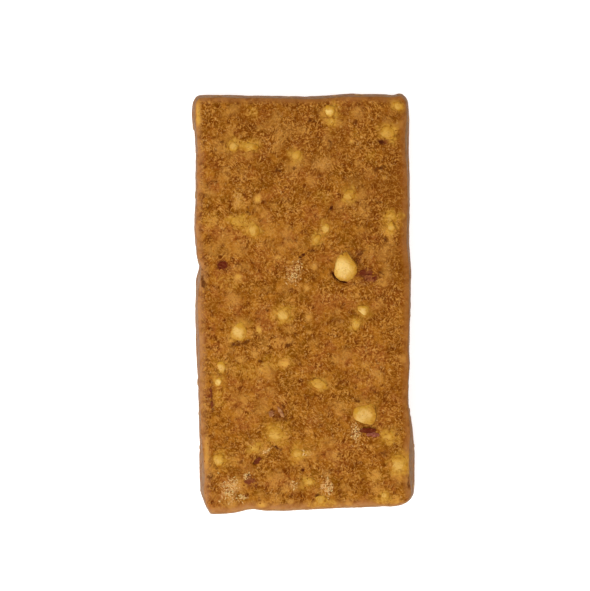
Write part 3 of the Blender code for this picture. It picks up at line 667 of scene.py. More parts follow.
def edge_rounding(z, top_radius):
    """How far the rounded top and bottom edges draw the wall in at height z."""
    inset = np.zeros_like(z)
    for radius, gap in ((top_radius, THICKNESS - z), (BOTTOM_EDGE_RADIUS, z)):
        into = np.clip(radius - gap, 0.0, radius)
        inset += radius - np.sqrt(radius * radius - into * into)
    return inset


def wall_lean(z):
    """0 where the wall is widest, 1 at the top edge, and a smaller share at the foot."""
    widest = WIDEST_AT * THICKNESS
    above = np.clip((z - widest) / (THICKNESS - widest), 0.0, 1.0)
    below = np.clip((widest - z) / widest, 0.0, 1.0)
    return above**LEAN_POWER + FOOT_SHARE * below**2


def outline_pushes(x, y, lean):
    """How far the left, right, far and near wall stand out at a place, where they lean by that share."""
    left = swell(y, LEFT_SWELLS) - (SIDE_FLARE + swell(y, LEFT_FLARES)) * lean
    right = swell(y, RIGHT_SWELLS) - (SIDE_FLARE + swell(y, RIGHT_FLARES)) * lean
    far = swell(x, FAR_SWELLS) - FAR_FLARE * lean
    near = swell(x, NEAR_SWELLS) - NEAR_SLANT * x - NEAR_SET_BACK - NEAR_FLARE * lean
    return left, right, far, near


def slab_form(unit):
    """Places the cube's points as the slab without its relief: rounded, swollen, a little out of square."""
    x, y = rounded_in_plan(unit[:, 0] * WIDTH / 2, unit[:, 1] * LENGTH / 2)
    z = THICKNESS * (1 + np.sin(unit[:, 2] * math.pi / 2)) / 2
    left, right, far, near = outline_pushes(x, y, wall_lean(z))
    rounding = edge_rounding(z, TOP_EDGE_RADIUS)
    out_x = np.where(x < 0, left, right) - rounding
    out_y = np.where(y < 0, near - edge_rounding(z, NEAR_TOP_EDGE_RADIUS), far - rounding)
    share_x = (np.abs(x) / (WIDTH / 2)) ** SIDE_FADE
    share_y = (np.abs(y) / (LENGTH / 2)) ** END_FADE
    return np.column_stack((x + np.sign(x) * share_x * out_x, y + np.sign(y) * share_y * out_y, z))


def noise_relief(points, scales):
    """Height of an uneven surface at each point: the sum of lumps of the given sizes and heights."""
    height = np.zeros(len(points))
    for size, push in scales:
        for i, point in enumerate(points):
            height[i] += push * noise.noise(Vector(point) / size)
    return height


def oval_distance(points, x, y, length, breadth, turn):
    """Distance of each point from an oval's middle in plan: 1 on its rim. Sizes in mm, turn in degrees."""
    angle = math.radians(turn)
    dx, dy = points[:, 0] - x * MM, points[:, 1] - y * MM
    along = dx * math.cos(angle) + dy * math.sin(angle)
    aside = dy * math.cos(angle) - dx * math.sin(angle)
    return np.hypot(along / (length * MM / 2), aside / (breadth * MM / 2))


def chance_ovals(rng, count, span, size, breadth_share, height):
    """Ovals strewn over the bar, in mm and degrees, each with a height. All but the count are ranges."""
    ovals = []
    for _ in range(count):
        x = rng.uniform(-span[0], span[0]) * WIDTH / MM
        y = rng.uniform(-span[1], span[1]) * LENGTH / MM
        length = rng.uniform(*size)
        breadth = length * rng.uniform(*breadth_share)
        ovals.append((x, y, length, breadth, rng.uniform(0, 180), rng.uniform(*height)))
    return ovals


def buried_peanuts():
    """The pieces that lie just under the top surface."""
    rng = random.Random(SEED + 3)
    return chance_ovals(rng, BURIED_PEANUTS, BURIED_SPAN, BURIED_SIZE, BURIED_BREADTH, BURIED_HEIGHT)


def top_relief(points):
    """Extra height on top: mounds over the peanut pieces, less the torn places."""
    height = np.zeros(len(points))
    for *oval, mound in buried_peanuts():
        height = np.maximum(height, mound * np.exp(-(oval_distance(points, *oval) ** 4)))
    for x, y, length, breadth, turn, proud, _, _ in TOP_PEANUTS:
        rim = oval_distance(points, x, y, length * PEANUT_HEAP_REACH, breadth * PEANUT_HEAP_REACH, turn)
        height += PEANUT_HEAP_SHARE * proud * MM * np.exp(-(rim**2))
    for *oval, depth in TEARS:
        height -= depth * MM * np.exp(-(oval_distance(points, *oval) ** 2) * TEAR_FALL)
    return height


def underside_hollows(points):
    """Depth of the shallow hollows that trapped air left underneath."""
    rng = random.Random(SEED)
    hollows = chance_ovals(rng, UNDERSIDE_HOLLOWS, HOLLOW_SPAN, HOLLOW_SIZE, HOLLOW_BREADTH, HOLLOW_DEPTH)
    depth = np.zeros(len(points))
    for *oval, deepest in hollows:
        depth = np.maximum(depth, deepest * np.clip(1 - oval_distance(points, *oval) ** 2, 0.0, 1.0))
    return depth


# The skin: the slab's form with a finer crumb, and masks for its material


def patch_mask(points, ovals, waver):
    """Strength of a set of oval patches at each point, with ragged rims."""
    mask = np.zeros(len(points))
    for *oval, strength in ovals:
        rim = oval_distance(points, *oval) + waver
        mask = np.maximum(mask, strength * smooth_step(*PATCH_RIM, rim))
    return mask


def rough_patches(form):
    """1 where the paste is crumbly and 0 where it was smeared smooth."""
    return smooth_step(*ROUGH_FROM, noise_relief(form, ROUGH_PATCHES))


def to_outline(form, shares=(1.0, 1.0, 1.0, 1.0)):
    """Distance in plan from each point of the slab's form to the top edge of the nearest wall.

    The distances to the left, right, far and near wall are each divided by their share first.
    """
    x, y = form[:, 0], form[:, 1]
    places = (WIDTH / 2 + x, WIDTH / 2 - x, LENGTH / 2 - y, LENGTH / 2 + y)
    pushes = outline_pushes(x, y, 1.0)
    return np.min([(place + push) / share for place, push, share in zip(places, pushes, shares)], axis=0)


def top_patches(form, waver):
    """The masks of everything that lies on top in patches."""
    ghosts = [
        (x, y, a * GHOST_SPREAD, b * GHOST_SPREAD, turn, GHOST_STRENGTH * mound / BURIED_HEIGHT[1])
        for x, y, a, b, turn, mound in buried_peanuts()
    ]
    halos = []
    for x, y, a, b, turn, _, _, bare in TOP_PEANUTS:
        strength = HALO_STRENGTH if a < HALO_PIECE else HALO_WHEN_COVERED - bare
        halos.append((x, y, a + HALO_REACH, b + HALO_REACH, turn, strength))
    tears = [
        (x, y, a * TEAR_SPREAD[0], b * TEAR_SPREAD[1], turn, min(1.0, TEAR_LEAST + depth))
        for x, y, a, b, turn, depth in TEARS
    ]
    marks = [(x, y, a * MARK_SPREAD, b * MARK_SPREAD, turn, deep) for x, y, a, b, turn, deep in DARK_MARKS]
    return {
        "ghost": np.maximum(patch_mask(form, ghosts, waver), patch_mask(form, GHOSTS, CLEAR_WAVER * waver)),
        "halo": patch_mask(form, halos, waver),
        "ochre": patch_mask(form, OCHRE_PATCHES, waver),
        "deep": patch_mask(form, DEEP_AND_SHADED_PATCHES, waver),
        "red": patch_mask(form, RED_PATCHES, waver),
        "dry": patch_mask(form, DRY_PATCHES, waver),
        "torn": patch_mask(form, tears, CLEAR_WAVER * waver),
        "marks": patch_mask(form, marks, MARK_WAVER * waver),
    }


def skin_masks(form, normals, crumb, rough):
    """What the material needs to know at each point of the skin."""
    waver = noise_relief(form, PATCH_WAVER)
    # Painted light: 1 on the left and near side, where the key light falls, and 0 on the shaded right and far
    # side
    lit_side = smooth_step(*LIT_SIDE_RANGE, -form[:, 0] / WIDTH - form[:, 1] / LENGTH)
    # The tan border is broader and stronger on the lit side: painted light over the border's own tan
    border = BORDER[0] + (BORDER[1] - BORDER[0]) * lit_side
    to_border = to_outline(form) + RIM_WANDER * waver * MM
    tan = BORDER_LEAST + (1 - BORDER_LEAST) * lit_side
    upward = smooth_step(*PATCH_FACING, normals[:, 2])
    masks = {name: mask * upward for name, mask in top_patches(form, waver).items()}
    return {
        **masks,
        "rim": smooth_step(*RIM_FADE, to_outline(form, SMOOTH_RIMS) + RIM_WANDER * waver),
        "border": smooth_step(border, BORDER_FULL * border, to_border) * tan,
        "lit_side": lit_side,
        "wall": smooth_step(*WALL_FACING, np.abs(normals[:, 2])),
        "low": smooth_step(*LOW_WALL, form[:, 2] / THICKNESS + noise_relief(form, WALL_WANDER)),
        "near": smooth_step(*NEAR_FACING, -normals[:, 1]),
        "rough": rough,
        "crumb": 0.5 + 0.5 * np.clip(crumb / CRUMB_DEPTH, -1.0, 1.0),
    }


def wall_drag(form, normals):
    """Fine level streaks that the cutter and the pan left along the walls."""
    along, up, height = WALL_DRAG
    stretched = form / np.array((along, along, up)) * MM
    return noise_relief(stretched, ((1.0 * MM, height),)) * smooth_step(*WALL_FACING, np.abs(normals[:, 2]))


def add_mask(mesh, name, values):
    """Stores one number for each point of a mesh."""
    layer = mesh.attributes.new(name, "FLOAT", "POINT")
    layer.data.foreach_set("value", np.asarray(values, dtype=np.float32))


def new_object(name, mesh, material):
    """An object in the scene with that mesh and material."""
    obj = bpy.data.objects.new(name, mesh)
    bpy.context.scene.collection.objects.link(obj)
    mesh.materials.append(material)
    return obj


def make_skin(material):
    """The paste's skin, with its masks, brought down to the triangles it may have."""
    bm = gridded_cube(round(WIDTH / SKIN_GRID), round(LENGTH / SKIN_GRID), SKIN_WALL_LEVELS)
    unit = np.array([v.co[:] for v in bm.verts])
    form = slab_form(unit)
    for vert, place in zip(bm.verts, form):
        vert.co = place
    bm.normal_update()
    normals = np.array([v.normal[:] for v in bm.verts])

    to_edge = np.minimum(WIDTH / 2 - np.abs(form[:, 0]), LENGTH / 2 - np.abs(form[:, 1]))
    calm = CALM_SHARE + (1 - CALM_SHARE) * smooth_step(0.0, CALM_EDGE, to_edge)
    facing_up = smooth_step(*TOP_FACING, normals[:, 2])
    off_the_floor = smooth_step(*FLOOR_FACING, normals[:, 2])
    off_the_floor *= smooth_step(0.0, BOTTOM_EDGE_RADIUS, form[:, 2])
    rough = rough_patches(form)
    crumb = noise_relief(form, CRUMB_RELIEF) * (SMOOTH_PATCH_CRUMB + (1 - SMOOTH_PATCH_CRUMB) * rough)
    height = (noise_relief(form, PASTE_RELIEF) + crumb) * calm + wall_drag(form, normals)
    height = height * off_the_floor + top_relief(form) * facing_up
    placed = form + normals * height[:, None]
    underneath = smooth_step(*UNDERSIDE_FACING, -normals[:, 2])
    placed[:, 2] += underside_hollows(form) * underneath
    for vert, place in zip(bm.verts, placed):
        vert.co = place

    mesh = bpy.data.meshes.new("paste_skin")
    bm.to_mesh(mesh)
    bm.free()
    for name, values in skin_masks(form, normals, crumb, rough).items():
        add_mask(mesh, name, values)
    skin = new_object("paste_skin", mesh, material)
    fewer = skin.modifiers.new("fewer", "DECIMATE")
    fewer.ratio = SKIN_TRIANGLES / (2 * len(mesh.polygons))
    graph = bpy.context.evaluated_depsgraph_get()
    lighter = skin.evaluated_get(graph)
    finished = bpy.data.meshes.new_from_object(lighter, preserve_all_data_layers=True, depsgraph=graph)
    skin.modifiers.clear()
    skin.data = finished
    bpy.data.meshes.remove(mesh)
    finished.name = "paste_skin"
    finished.shade_smooth()
    return skin


def tree_of(obj):
    """The object's surface, ready to be met by straight lines."""
    return BVHTree.FromObject(obj, bpy.context.evaluated_depsgraph_get())


class Heap:
    """Many small things gathered into one mesh, with a few numbers for each of their points."""

    def __init__(self):
        self.points = []
        self.faces = []
        self.masks = {}

    def add(self, points, faces, **masks):
        start = len(self.points)
        self.points.extend(points)
        self.faces.extend([i + start for i in face] for face in faces)
        for name, values in masks.items():
            self.masks.setdefault(name, []).extend(values)

    def finish(self, name, material):
        mesh = bpy.data.meshes.new(name)
        mesh.from_pydata([tuple(p) for p in self.points], [], self.faces)
        for mask, values in self.masks.items():
            add_mask(mesh, mask, values)
        mesh.shade_smooth()
        return new_object(name, mesh, material)


def ball(fineness):
    """Points and faces of a ball of radius 1."""
    bm = bmesh.new()
    bmesh.ops.create_icosphere(bm, subdivisions=fineness, radius=1.0)
    points = [v.co.copy() for v in bm.verts]
    faces = [[v.index for v in f.verts] for f in bm.faces]
    bm.free()
    return points, faces


# Peanut pieces


def peanut_facets(rng):
    """The flat breaks of one chopped piece: directions, and how deep each cuts into a ball of radius 1."""
    facets = []
    for _ in range(rng.randint(*PEANUT_BREAKS)):
        way = Vector((rng.gauss(0, 1), rng.gauss(0, 1), rng.gauss(0, 1))).normalized()
        facets.append((way, rng.uniform(*BREAK_DEPTH)))
    return facets


def peanut_reach(way, facets):
    """Distance from the piece's middle to its surface in one direction, the breaks' edges rubbed down."""
    total = 1.0
    for facet, depth in facets:
        total += max(0.0, way.dot(facet) / depth) ** BREAK_SHARPNESS
    return total ** (-1.0 / BREAK_SHARPNESS)


def grain_of_break(point):
    """The uneven grain of a broken peanut, as a share of the piece's size."""
    return sum(share * noise.noise(point * scale) for scale, share in BREAK_GRAIN)


def turned_to(normal, turn):
    """The turning that sets a piece on a surface with that normal, turned about it by so many degrees."""
    along = Vector((1, 0, 0)) if abs(normal.x) < 0.7 else Vector((0, 1, 0))
    across = normal.cross(along).normalized()
    along = across.cross(normal)
    upright = Matrix((along, across, normal)).transposed()
    return upright @ Euler((0, 0, math.radians(turn))).to_matrix()


def above(x, y):
    """A place well above the top of the bar. x and y are in mm."""
    return Vector((x * MM, y * MM, 2 * THICKNESS))


def surface_at(tree, start, way):
    """Place and normal where a line meets the surface, evened out over its near surroundings."""
    aside = way.orthogonal().normalized() * SETTLE_REACH
    hits = [tree.ray_cast(start, way)]
    for quarter in range(4):
        hits.append(tree.ray_cast(start + Matrix.Rotation(quarter * math.pi / 2, 3, way) @ aside, way))
    hits = [hit for hit in hits if hit[0] is not None]
    normal = sum((hit[1] for hit in hits), Vector()).normalized()
    return hits[0][0], normal


def peanut_form(points, size, taper):
    """Fits a broken ball's points to a length, breadth and depth in mm.

    One end is narrowed and the top is pressed flat.
    """
    low = [min(p[axis] for p in points) for axis in range(3)]
    high = [max(p[axis] for p in points) for axis in range(3)]
    form = []
    for point in points:
        x, y, z = (2 * (point[axis] - low[axis]) / (high[axis] - low[axis]) - 1 for axis in range(3))
        y *= 1 - taper * x
        z = min(z, PRESSED_FROM + PRESSED_SHARE * (z - PRESSED_FROM))
        form.append(Vector((x * size[0], y * size[1], z * size[2])) * MM / 2)
    return form


def pressed_top(size):
    """Height of a piece's flattened top above its middle, in mm."""
    return (PRESSED_FROM + PRESSED_SHARE * (1 - PRESSED_FROM)) * size[2] / 2


def set_peanut(heap, rng, tree, line, size, turn, proud, shade, taper=0.0, bareness=WALL_BARENESS,
               fineness=PEANUT_FINENESS, filmed=FILMED_SHADED_SIDE):
    """One chopped piece, pressed in where a line meets the skin.

    Its mask far rises from 0 to 1 towards its filmed side, which is painted as its shaded side too. Its mask
    core falls from 1 at its palest place, set towards the light, to 0 at its rim.
    """
    place, slope = surface_at(tree, *line)
    normal = (slope - line[1] * LEVELLING).normalized()
    turning = turned_to(normal, turn)
    middle = place + normal * (proud - pressed_top(size)) * MM
    facets = peanut_facets(rng)
    ways, faces = ball(fineness)
    broken = [way.normalized() * peanut_reach(way.normalized(), facets) for way in ways]
    filmed_shaded_way = Vector((math.cos(math.radians(filmed)), math.sin(math.radians(filmed)), 0.0))
    longest = max(size[:2]) * MM
    placed, far, core = [], [], []
    for way, local in zip(ways, peanut_form(broken, size, taper)):
        spot = middle + turning @ (local * (1 + grain_of_break(way + middle / MM)))
        placed.append(spot)
        far.append(0.5 + (spot - middle).dot(filmed_shaded_way) / longest)
        core.append(1 - (spot - middle + CORE_SHIFT_TO_LIGHT * size[1] * MM).length / (longest / 2))
    count = len(placed)
    heap.add(placed, faces, far=far, core=core, bare=[bareness] * count, shade=[shade] * count)


def add_top_peanuts(heap, tree):
    """The pieces that show on top, each standing out of the paste by its own height."""
    rng, shades = random.Random(SEED + 1), random.Random(SEED + 4)
    for i, (x, y, length, breadth, turn, proud, taper, bareness) in enumerate(TOP_PEANUTS):
        line = (above(x, y), DOWN)
        size = (length, breadth, breadth * PEANUT_DEPTH_SHARE)
        fineness = PEANUT_FINENESS + sum(i < rank for rank in DETAILED_PEANUTS)
        shade = PEANUT_SHADES.get(i, shades.random())
        filmed = FILMED_SHADED_SIDES.get(i, FILMED_SHADED_SIDE)
        set_peanut(heap, rng, tree, line, size, turn, proud, shade, taper, bareness, fineness, filmed)


def wall_starts(rng):
    """Places outside the four walls, spaced unevenly, each with the way that looks at the wall."""
    starts = []
    for way, half_span, out in (
        (Vector((1, 0, 0)), LENGTH / 2, -WIDTH),
        (Vector((-1, 0, 0)), LENGTH / 2, WIDTH),
        (Vector((0, 1, 0)), WIDTH / 2, -LENGTH),
        (Vector((0, -1, 0)), WIDTH / 2, LENGTH),
    ):
        along = -half_span + CORNER_CLEARANCE
        while along < half_span - CORNER_CLEARANCE:
            z = THICKNESS * rng.uniform(*WALL_PEANUT_LEVELS)
            starts.append((Vector((out, along, z)) if way.x else Vector((along, out, z)), way))
            along += WALL_PEANUT_SPACING * rng.uniform(*WALL_PEANUT_UNEVENNESS)
    return starts


def add_wall_peanuts(heap, tree):
    """Pieces that the cut laid open along the four walls, and the crumb that hangs on the left one."""
    rng, shades = random.Random(SEED + 2), random.Random(SEED + 5)
    for line in wall_starts(rng):
        length, breadth = (rng.uniform(*WALL_PEANUT_SIZE) for _ in range(2))
        size = (length, breadth, min(length, breadth))
        turn, proud = rng.uniform(0, 180), rng.uniform(*WALL_PEANUT_PROUD)
        set_peanut(heap, rng, tree, line, size, turn, proud, shades.random())
    x, y, z, length, breadth, proud = WALL_CRUMB
    line = (Vector((2 * x, y, z)) * MM, Vector((1, 0, 0)))
    set_peanut(heap, rng, tree, line, (length, breadth, breadth), 0, proud, WALL_CRUMB_SHADE)


# Small things on the paste


def turned_place(x, y, along, aside, turn):
    """A place so far along and aside from a middle, with the whole turned by so many degrees."""
    angle = math.radians(turn)
    px = x + along * math.cos(angle) - aside * math.sin(angle)
    py = y + along * math.sin(angle) + aside * math.cos(angle)
    return px, py


def add_skin_bits(heap, tree):
    """Bits of red peanut skin, laid over the paste and lifted a little along one edge."""
    rag_scale, rag_share = SKIN_BIT_RAGS
    for x, y, length, breadth, turn, tilt, shade in SKIN_BITS:
        points, faces = ball(SKIN_BIT_FINENESS)
        lift = math.tan(math.radians(tilt))
        placed = []
        for way in points:
            ragged = 1 + rag_share * noise.noise(Vector((way.x * rag_scale, way.y * rag_scale, x + y)))
            along, aside = way.x * ragged * length / 2, way.y * ragged * breadth / 2
            px, py = turned_place(x, y, along, aside, turn)
            ground = tree.ray_cast(above(px, py), DOWN)[0]
            crinkle = SKIN_BIT_CRINKLE * noise.noise(Vector((px, py, 0)) * SKIN_BIT_CRINKLE_SCALE)
            height = SKIN_BIT_THICKNESS * way.z + (aside + breadth / 2) * MM * lift + crinkle - SKIN_BIT_SUNK
            placed.append(Vector((px * MM, py * MM, ground.z + height)))
        heap.add(placed, faces, shade=[shade] * len(placed))


def add_speck(heap, rng, tree, x, y, size, sunk, fineness):
    """One small lump or flake set on top of the bar. x and y are in mm, size is its three half sizes."""
    shade = rng.random()
    ground, normal = surface_at(tree, above(x, y), DOWN)
    turning = turned_to(normal, rng.uniform(0, 360))
    turning = turning @ Euler((rng.gauss(0, SPECK_TILT), rng.gauss(0, SPECK_TILT), 0)).to_matrix()
    middle = ground + normal * size[2] * (1 - 2 * sunk)
    seed = Vector((rng.uniform(0, 99), rng.uniform(0, 99), 0))
    lump_scale, lump_share = SPECK_LUMPS
    points, faces = ball(fineness)
    placed = []
    for way in points:
        lumpy = way * (1 + lump_share * noise.noise(way * lump_scale + seed))
        placed.append(middle + turning @ Vector(lumpy[axis] * size[axis] for axis in range(3)))
    heap.add(placed, faces, shade=[shade] * len(placed))


def add_flakes(heap, tree):
    """Pale dry flakes, thick in the middle of each dry patch and thinning outwards."""
    rng = random.Random(SEED + 7)
    for x, y, length, breadth, turn, strength in DRY_PATCHES:
        if strength < FAINT_PATCH:
            continue
        for _ in range(round(FLAKES_PER_PATCH * strength * length * breadth / FLAKE_AREA)):
            px, py = turned_place(x, y, rng.gauss(0, length / 4), rng.gauss(0, breadth / 4), turn)
            size = (rng.uniform(*FLAKE_LENGTH) / 2, rng.uniform(*FLAKE_BREADTH) / 2, FLAKE_THICKNESS)
            add_speck(heap, rng, tree, px, py, size, FLAKE_SUNK, FLAKE_FINENESS)


def add_crumbs(heap, tree):
    """Crumbs of paste and peanut dust all over the top, fewer near its edges."""
    rng = random.Random(SEED + 8)
    span_x, span_y = CRUMB_SPAN
    made = 0
    while made < CRUMBS:
        x, y = rng.uniform(-span_x, span_x) * WIDTH, rng.uniform(-span_y, span_y) * LENGTH
        to_edge = min(WIDTH / 2 - abs(x), LENGTH / 2 - abs(y))
        if rng.random() > to_edge / CALM_EDGE:
            continue
        radius = rng.uniform(*CRUMB_SIZE) / 2 * rng.uniform(*CRUMB_SHRINK)
        size = (radius * rng.uniform(*CRUMB_STRETCH), radius, radius * CRUMB_FLATNESS)
        add_speck(heap, rng, tree, x / MM, y / MM, size, CRUMB_SUNK, CRUMB_FINENESS)
        made += 1


# Materials


class Paint:
    """One material and the nodes that make it up."""

    def __init__(self, name):
        self.material = bpy.data.materials.new(name)
        self.material.use_nodes = True
        self.nodes = self.material.node_tree.nodes
        self.links = self.material.node_tree.links
        self.shader = self.nodes["Principled BSDF"]
        self.place = self.nodes.new("ShaderNodeTexCoord").outputs["Object"]

    def put(self, socket, value):
        """Links an output to a socket, or sets the socket's own value."""
        if isinstance(value, bpy.types.NodeSocket):
            self.links.new(value, socket)
        elif isinstance(value, tuple) and len(value) == 3 and socket.type == "RGBA":
            socket.default_value = (*value, 1.0)
        else:
            socket.default_value = value

    def mask(self, name):
        """A number that the mesh holds for each point."""
        node = self.nodes.new("ShaderNodeAttribute")
        node.attribute_name = name
        return node.outputs["Fac"]

    def noise(self, size, detail=2.0, roughness=0.5, squash=None, curl=0.0):
        """Noise from 0 to 1 with lumps about that many mm across. curl drags them into winding streaks."""
        place = self.mapped("POINT", squash) if squash else self.place
        return self.noise_at(place, size, detail, roughness, curl)

    def streaks(self, breadth, stretch, turn):
        """Noise drawn out into short streaks: their breadth in mm, how much longer they are, their turn."""
        place = self.mapped("TEXTURE", (stretch, 1.0, 1.0), math.radians(turn))
        return self.noise_at(place, breadth, STREAK_DETAIL, 0.5, STREAK_CURL)

    def mapped(self, kind, scale, turn=0.0):
        """The place on the object, scaled and turned about the upright."""
        mapping = self.nodes.new("ShaderNodeMapping")
        mapping.vector_type = kind
        mapping.inputs["Scale"].default_value = scale
        mapping.inputs["Rotation"].default_value = (0.0, 0.0, turn)
        self.links.new(self.place, mapping.inputs["Vector"])
        return mapping.outputs["Vector"]

    def noise_at(self, place, size, detail, roughness, curl):
        """Noise at a place."""
        node = self.nodes.new("ShaderNodeTexNoise")
        self.links.new(place, node.inputs["Vector"])
        values = {"Scale": 1.0 / (size * MM), "Detail": detail, "Roughness": roughness, "Distortion": curl}
        for name, value in values.items():
            node.inputs[name].default_value = value
        return node.outputs["Fac"]

    def hair(self, breadth, stretch, patch):
        """Short streaks whose turn changes from patch to patch, like combed fibres. From 0 to 1."""
        turn = self.noise(patch, 1.0)
        value = self.streaks(breadth, stretch, HAIR_TURNS[0])
        for step, angle in enumerate(HAIR_TURNS[1:]):
            middle = 0.5 + HAIR_STEP * (step - 0.5)
            share = self.spread(turn, middle - HAIR_BLEND, middle + HAIR_BLEND)
            node = self.nodes.new("ShaderNodeMix")
            for socket, number in zip((0, 2, 3), (share, value, self.streaks(breadth, stretch, angle))):
                self.put(node.inputs[socket], number)
            value = node.outputs[0]
        return value

    def spread(self, value, low, high, to_low=0.0, to_high=1.0):
        """Maps low..high to to_low..to_high with soft ends."""
        node = self.nodes.new("ShaderNodeMapRange")
        node.interpolation_type = "SMOOTHSTEP"
        limits = {"From Min": low, "From Max": high, "To Min": to_low, "To Max": to_high}
        for name, number in limits.items():
            node.inputs[name].default_value = number
        self.put(node.inputs["Value"], value)
        return node.outputs["Result"]

    def cloud(self, size, detail, *limits):
        """How far soft clouds of noise show: their size in mm and detail, and the limits of their spread."""
        return self.spread(self.noise(size, detail), *limits)

    def maths(self, operation, a, b):
        """Sum, product or another operation on two numbers, kept between 0 and 1."""
        node = self.nodes.new("ShaderNodeMath")
        node.operation = operation
        node.use_clamp = True
        self.put(node.inputs[0], a)
        self.put(node.inputs[1], b)
        return node.outputs["Value"]

    def times(self, a, b):
        """Product of two numbers from 0 to 1."""
        return self.maths("MULTIPLY", a, b)

    def mix(self, colour, *layers):
        """A colour with others laid over it, each as (share, colour)."""
        for share, tint in layers:
            node = self.nodes.new("ShaderNodeMix")
            node.data_type = "RGBA"
            for socket, value in zip((0, 6, 7), (share, colour, tint)):
                self.put(node.inputs[socket], value)
            colour = node.outputs[2]
        return colour

    def bump(self, shape, height, strength=1.0, under=None):
        """A bump of noise of that shape, so many mm high, on top of another bump if one is given."""
        node = self.nodes.new("ShaderNodeBump")
        node.inputs["Distance"].default_value = height * MM
        self.put(node.inputs["Strength"], strength)
        self.put(node.inputs["Height"], self.noise(*shape))
        if under is not None:
            self.links.new(under, node.inputs["Normal"])
        return node.outputs["Normal"]

    def finish(self, surface, **varying):
        """Puts what is the same all over and what varies on the shader, by its sockets' names."""
        for name, value in (*surface.items(), *varying.items()):
            self.put(self.shader.inputs[name.replace("_", " ")], value)
        return self.material


def paste_ground(paint, rim):
    """The paste's colour: clouds of brown, deeper regions that are partly painted shade, and a tan border
    along the edges that is stronger on the painted lit side.
    """
    clouds = [
        (paint.cloud(size, detail, low, high, 0.0, strength), tint)
        for size, detail, low, high, strength, tint in PASTE_CLOUDS
    ]
    return paint.mix(
        PASTE_BROWN,
        *clouds,
        (paint.times(paint.mask("deep"), DEEP_SHARE), PASTE_DEEP),
        (paint.times(rim, RIM_SMEAR), PASTE_SMEAR),
        (paint.times(paint.mask("border"), paint.cloud(*RIM_STREAKS)), RIM_TAN),
    )


def peanut_under_paste(paint, colour, hair, ghost, halo):
    """Ochre patches with gilt streaks, peanut that shows through, and the golden film round the pieces."""
    ochre = paint.mask("ochre")
    gilt = paint.times(ochre, paint.spread(hair, *GILT_SHOWS))
    return paint.mix(
        colour,
        (paint.times(ochre, paint.cloud(*OCHRE_CLOUD)), PASTE_OCHRE),
        (paint.times(gilt, GILT_SHARE), PEANUT_GOLD),
        (paint.times(ghost, GHOST_SHARE), GHOST_TAN),
        (paint.spread(ghost, *GHOST_CORE), PEANUT_GOLD),
        (halo, FILM_GOLD),
        (paint.spread(halo, *HALO_CORE), PEANUT_GOLD),
    )


def wall_colour(paint):
    """Walls with painted light: grey-brown painted sheen and shade high up, paler to the left and near where
    the key light falls, and tan on the near wall; lower down lit and shaded copies of the paste, with ochre
    spots low down and pits.
    """
    lit_side = paint.mask("lit_side")
    high = paint.mix(WALL_SHADED_SHEEN, (lit_side, WALL_LIT_SHEEN), (paint.mask("near"), NEAR_TAN))
    spots = paint.spread(paint.noise(*WALL_SPOTS), *WALL_SPOTS_SHOW)
    low = paint.mix(LOWER_WALL_SHADED, (lit_side, LOWER_WALL_LIT), (spots, PASTE_OCHRE))
    pits = paint.spread(paint.noise(*WALL_PITS), *WALL_PITS_SHOW)
    return paint.mix(high, (paint.mask("low"), low), (pits, PASTE_DEEP))


def paste_grain(paint, colour, grained, patterns):
    """Fine grain over a colour: dark hollows and pits that are partly painted shade, and light tips of fibres
    that are partly painted highlights and glints.
    """
    layers = []
    for pattern, low, high, strength, tint in PASTE_GRAIN:
        share = paint.times(paint.spread(patterns[pattern], low, high), grained)
        layers.append((paint.times(share, strength), tint))
    return paint.mix(colour, *layers)


def paste_marks(paint, colour, strokes):
    """Red stains, dry patches, dark marks, some of them painted shadow, and painted shade in the torn places,
    over a colour.
    """
    stain = paint.spread(paint.streaks(*STAIN_STREAKS), *STAIN_SHOWS)
    dry = paint.times(paint.mask("dry"), paint.spread(strokes, *DRY_SHOWS))
    marks = paint.maths("ADD", paint.mask("marks"), paint.cloud(*MARK_RAGS))
    torn = paint.maths("ADD", paint.mask("torn"), paint.cloud(*TEAR_RAGS))
    return paint.mix(
        colour,
        (paint.times(paint.mask("red"), stain), PASTE_RED),
        (paint.times(dry, DRY_SHARE), DRY_PALE),
        (paint.spread(marks, *MARK_SHOWS), MARK_DARK),
        (paint.spread(torn, *TEAR_SHOWS), CRACK_SHADE),
    )


def paste_material():
    """Sticky date paste: brown, mottled and finely grained, smooth and oily where it was smeared."""
    paint = Paint("fruit_paste")
    rim, ghost = paint.mask("rim"), paint.mask("ghost")
    halo = paint.times(paint.mask("halo"), paint.cloud(*HALO_CLOUD))
    hair, strokes = paint.hair(*HAIR), paint.hair(*STROKES)
    colour = peanut_under_paste(paint, paste_ground(paint, rim), hair, ghost, halo)
    colour = paint.mix(colour, (paint.mask("wall"), wall_colour(paint)))

    calm = paint.maths("SUBTRACT", 1.0, paint.times(rim, RIM_CALM))
    grained = paint.times(calm, paint.spread(paint.mask("rough"), *ROUGH_GRAIN))
    filmed = paint.maths("ADD", halo, paint.times(ghost, GHOST_SMOOTHING))
    grained = paint.times(grained, paint.spread(filmed, *FILM_GRAIN))
    curls = paint.noise(CURL_SIZE, curl=CURL)
    patterns = {"hair": hair, "strokes": strokes, "curls": curls, "crumb": paint.mask("crumb")}
    colour = paste_marks(paint, paste_grain(paint, colour, grained, patterns), strokes)

    coarse, fine = PASTE_BUMPS
    normal = paint.bump(*fine, grained, paint.bump(*coarse, calm))
    return paint.finish(PASTE_SURFACE, Base_Color=colour, Roughness=paint.cloud(*PASTE_SHEEN), Normal=normal)


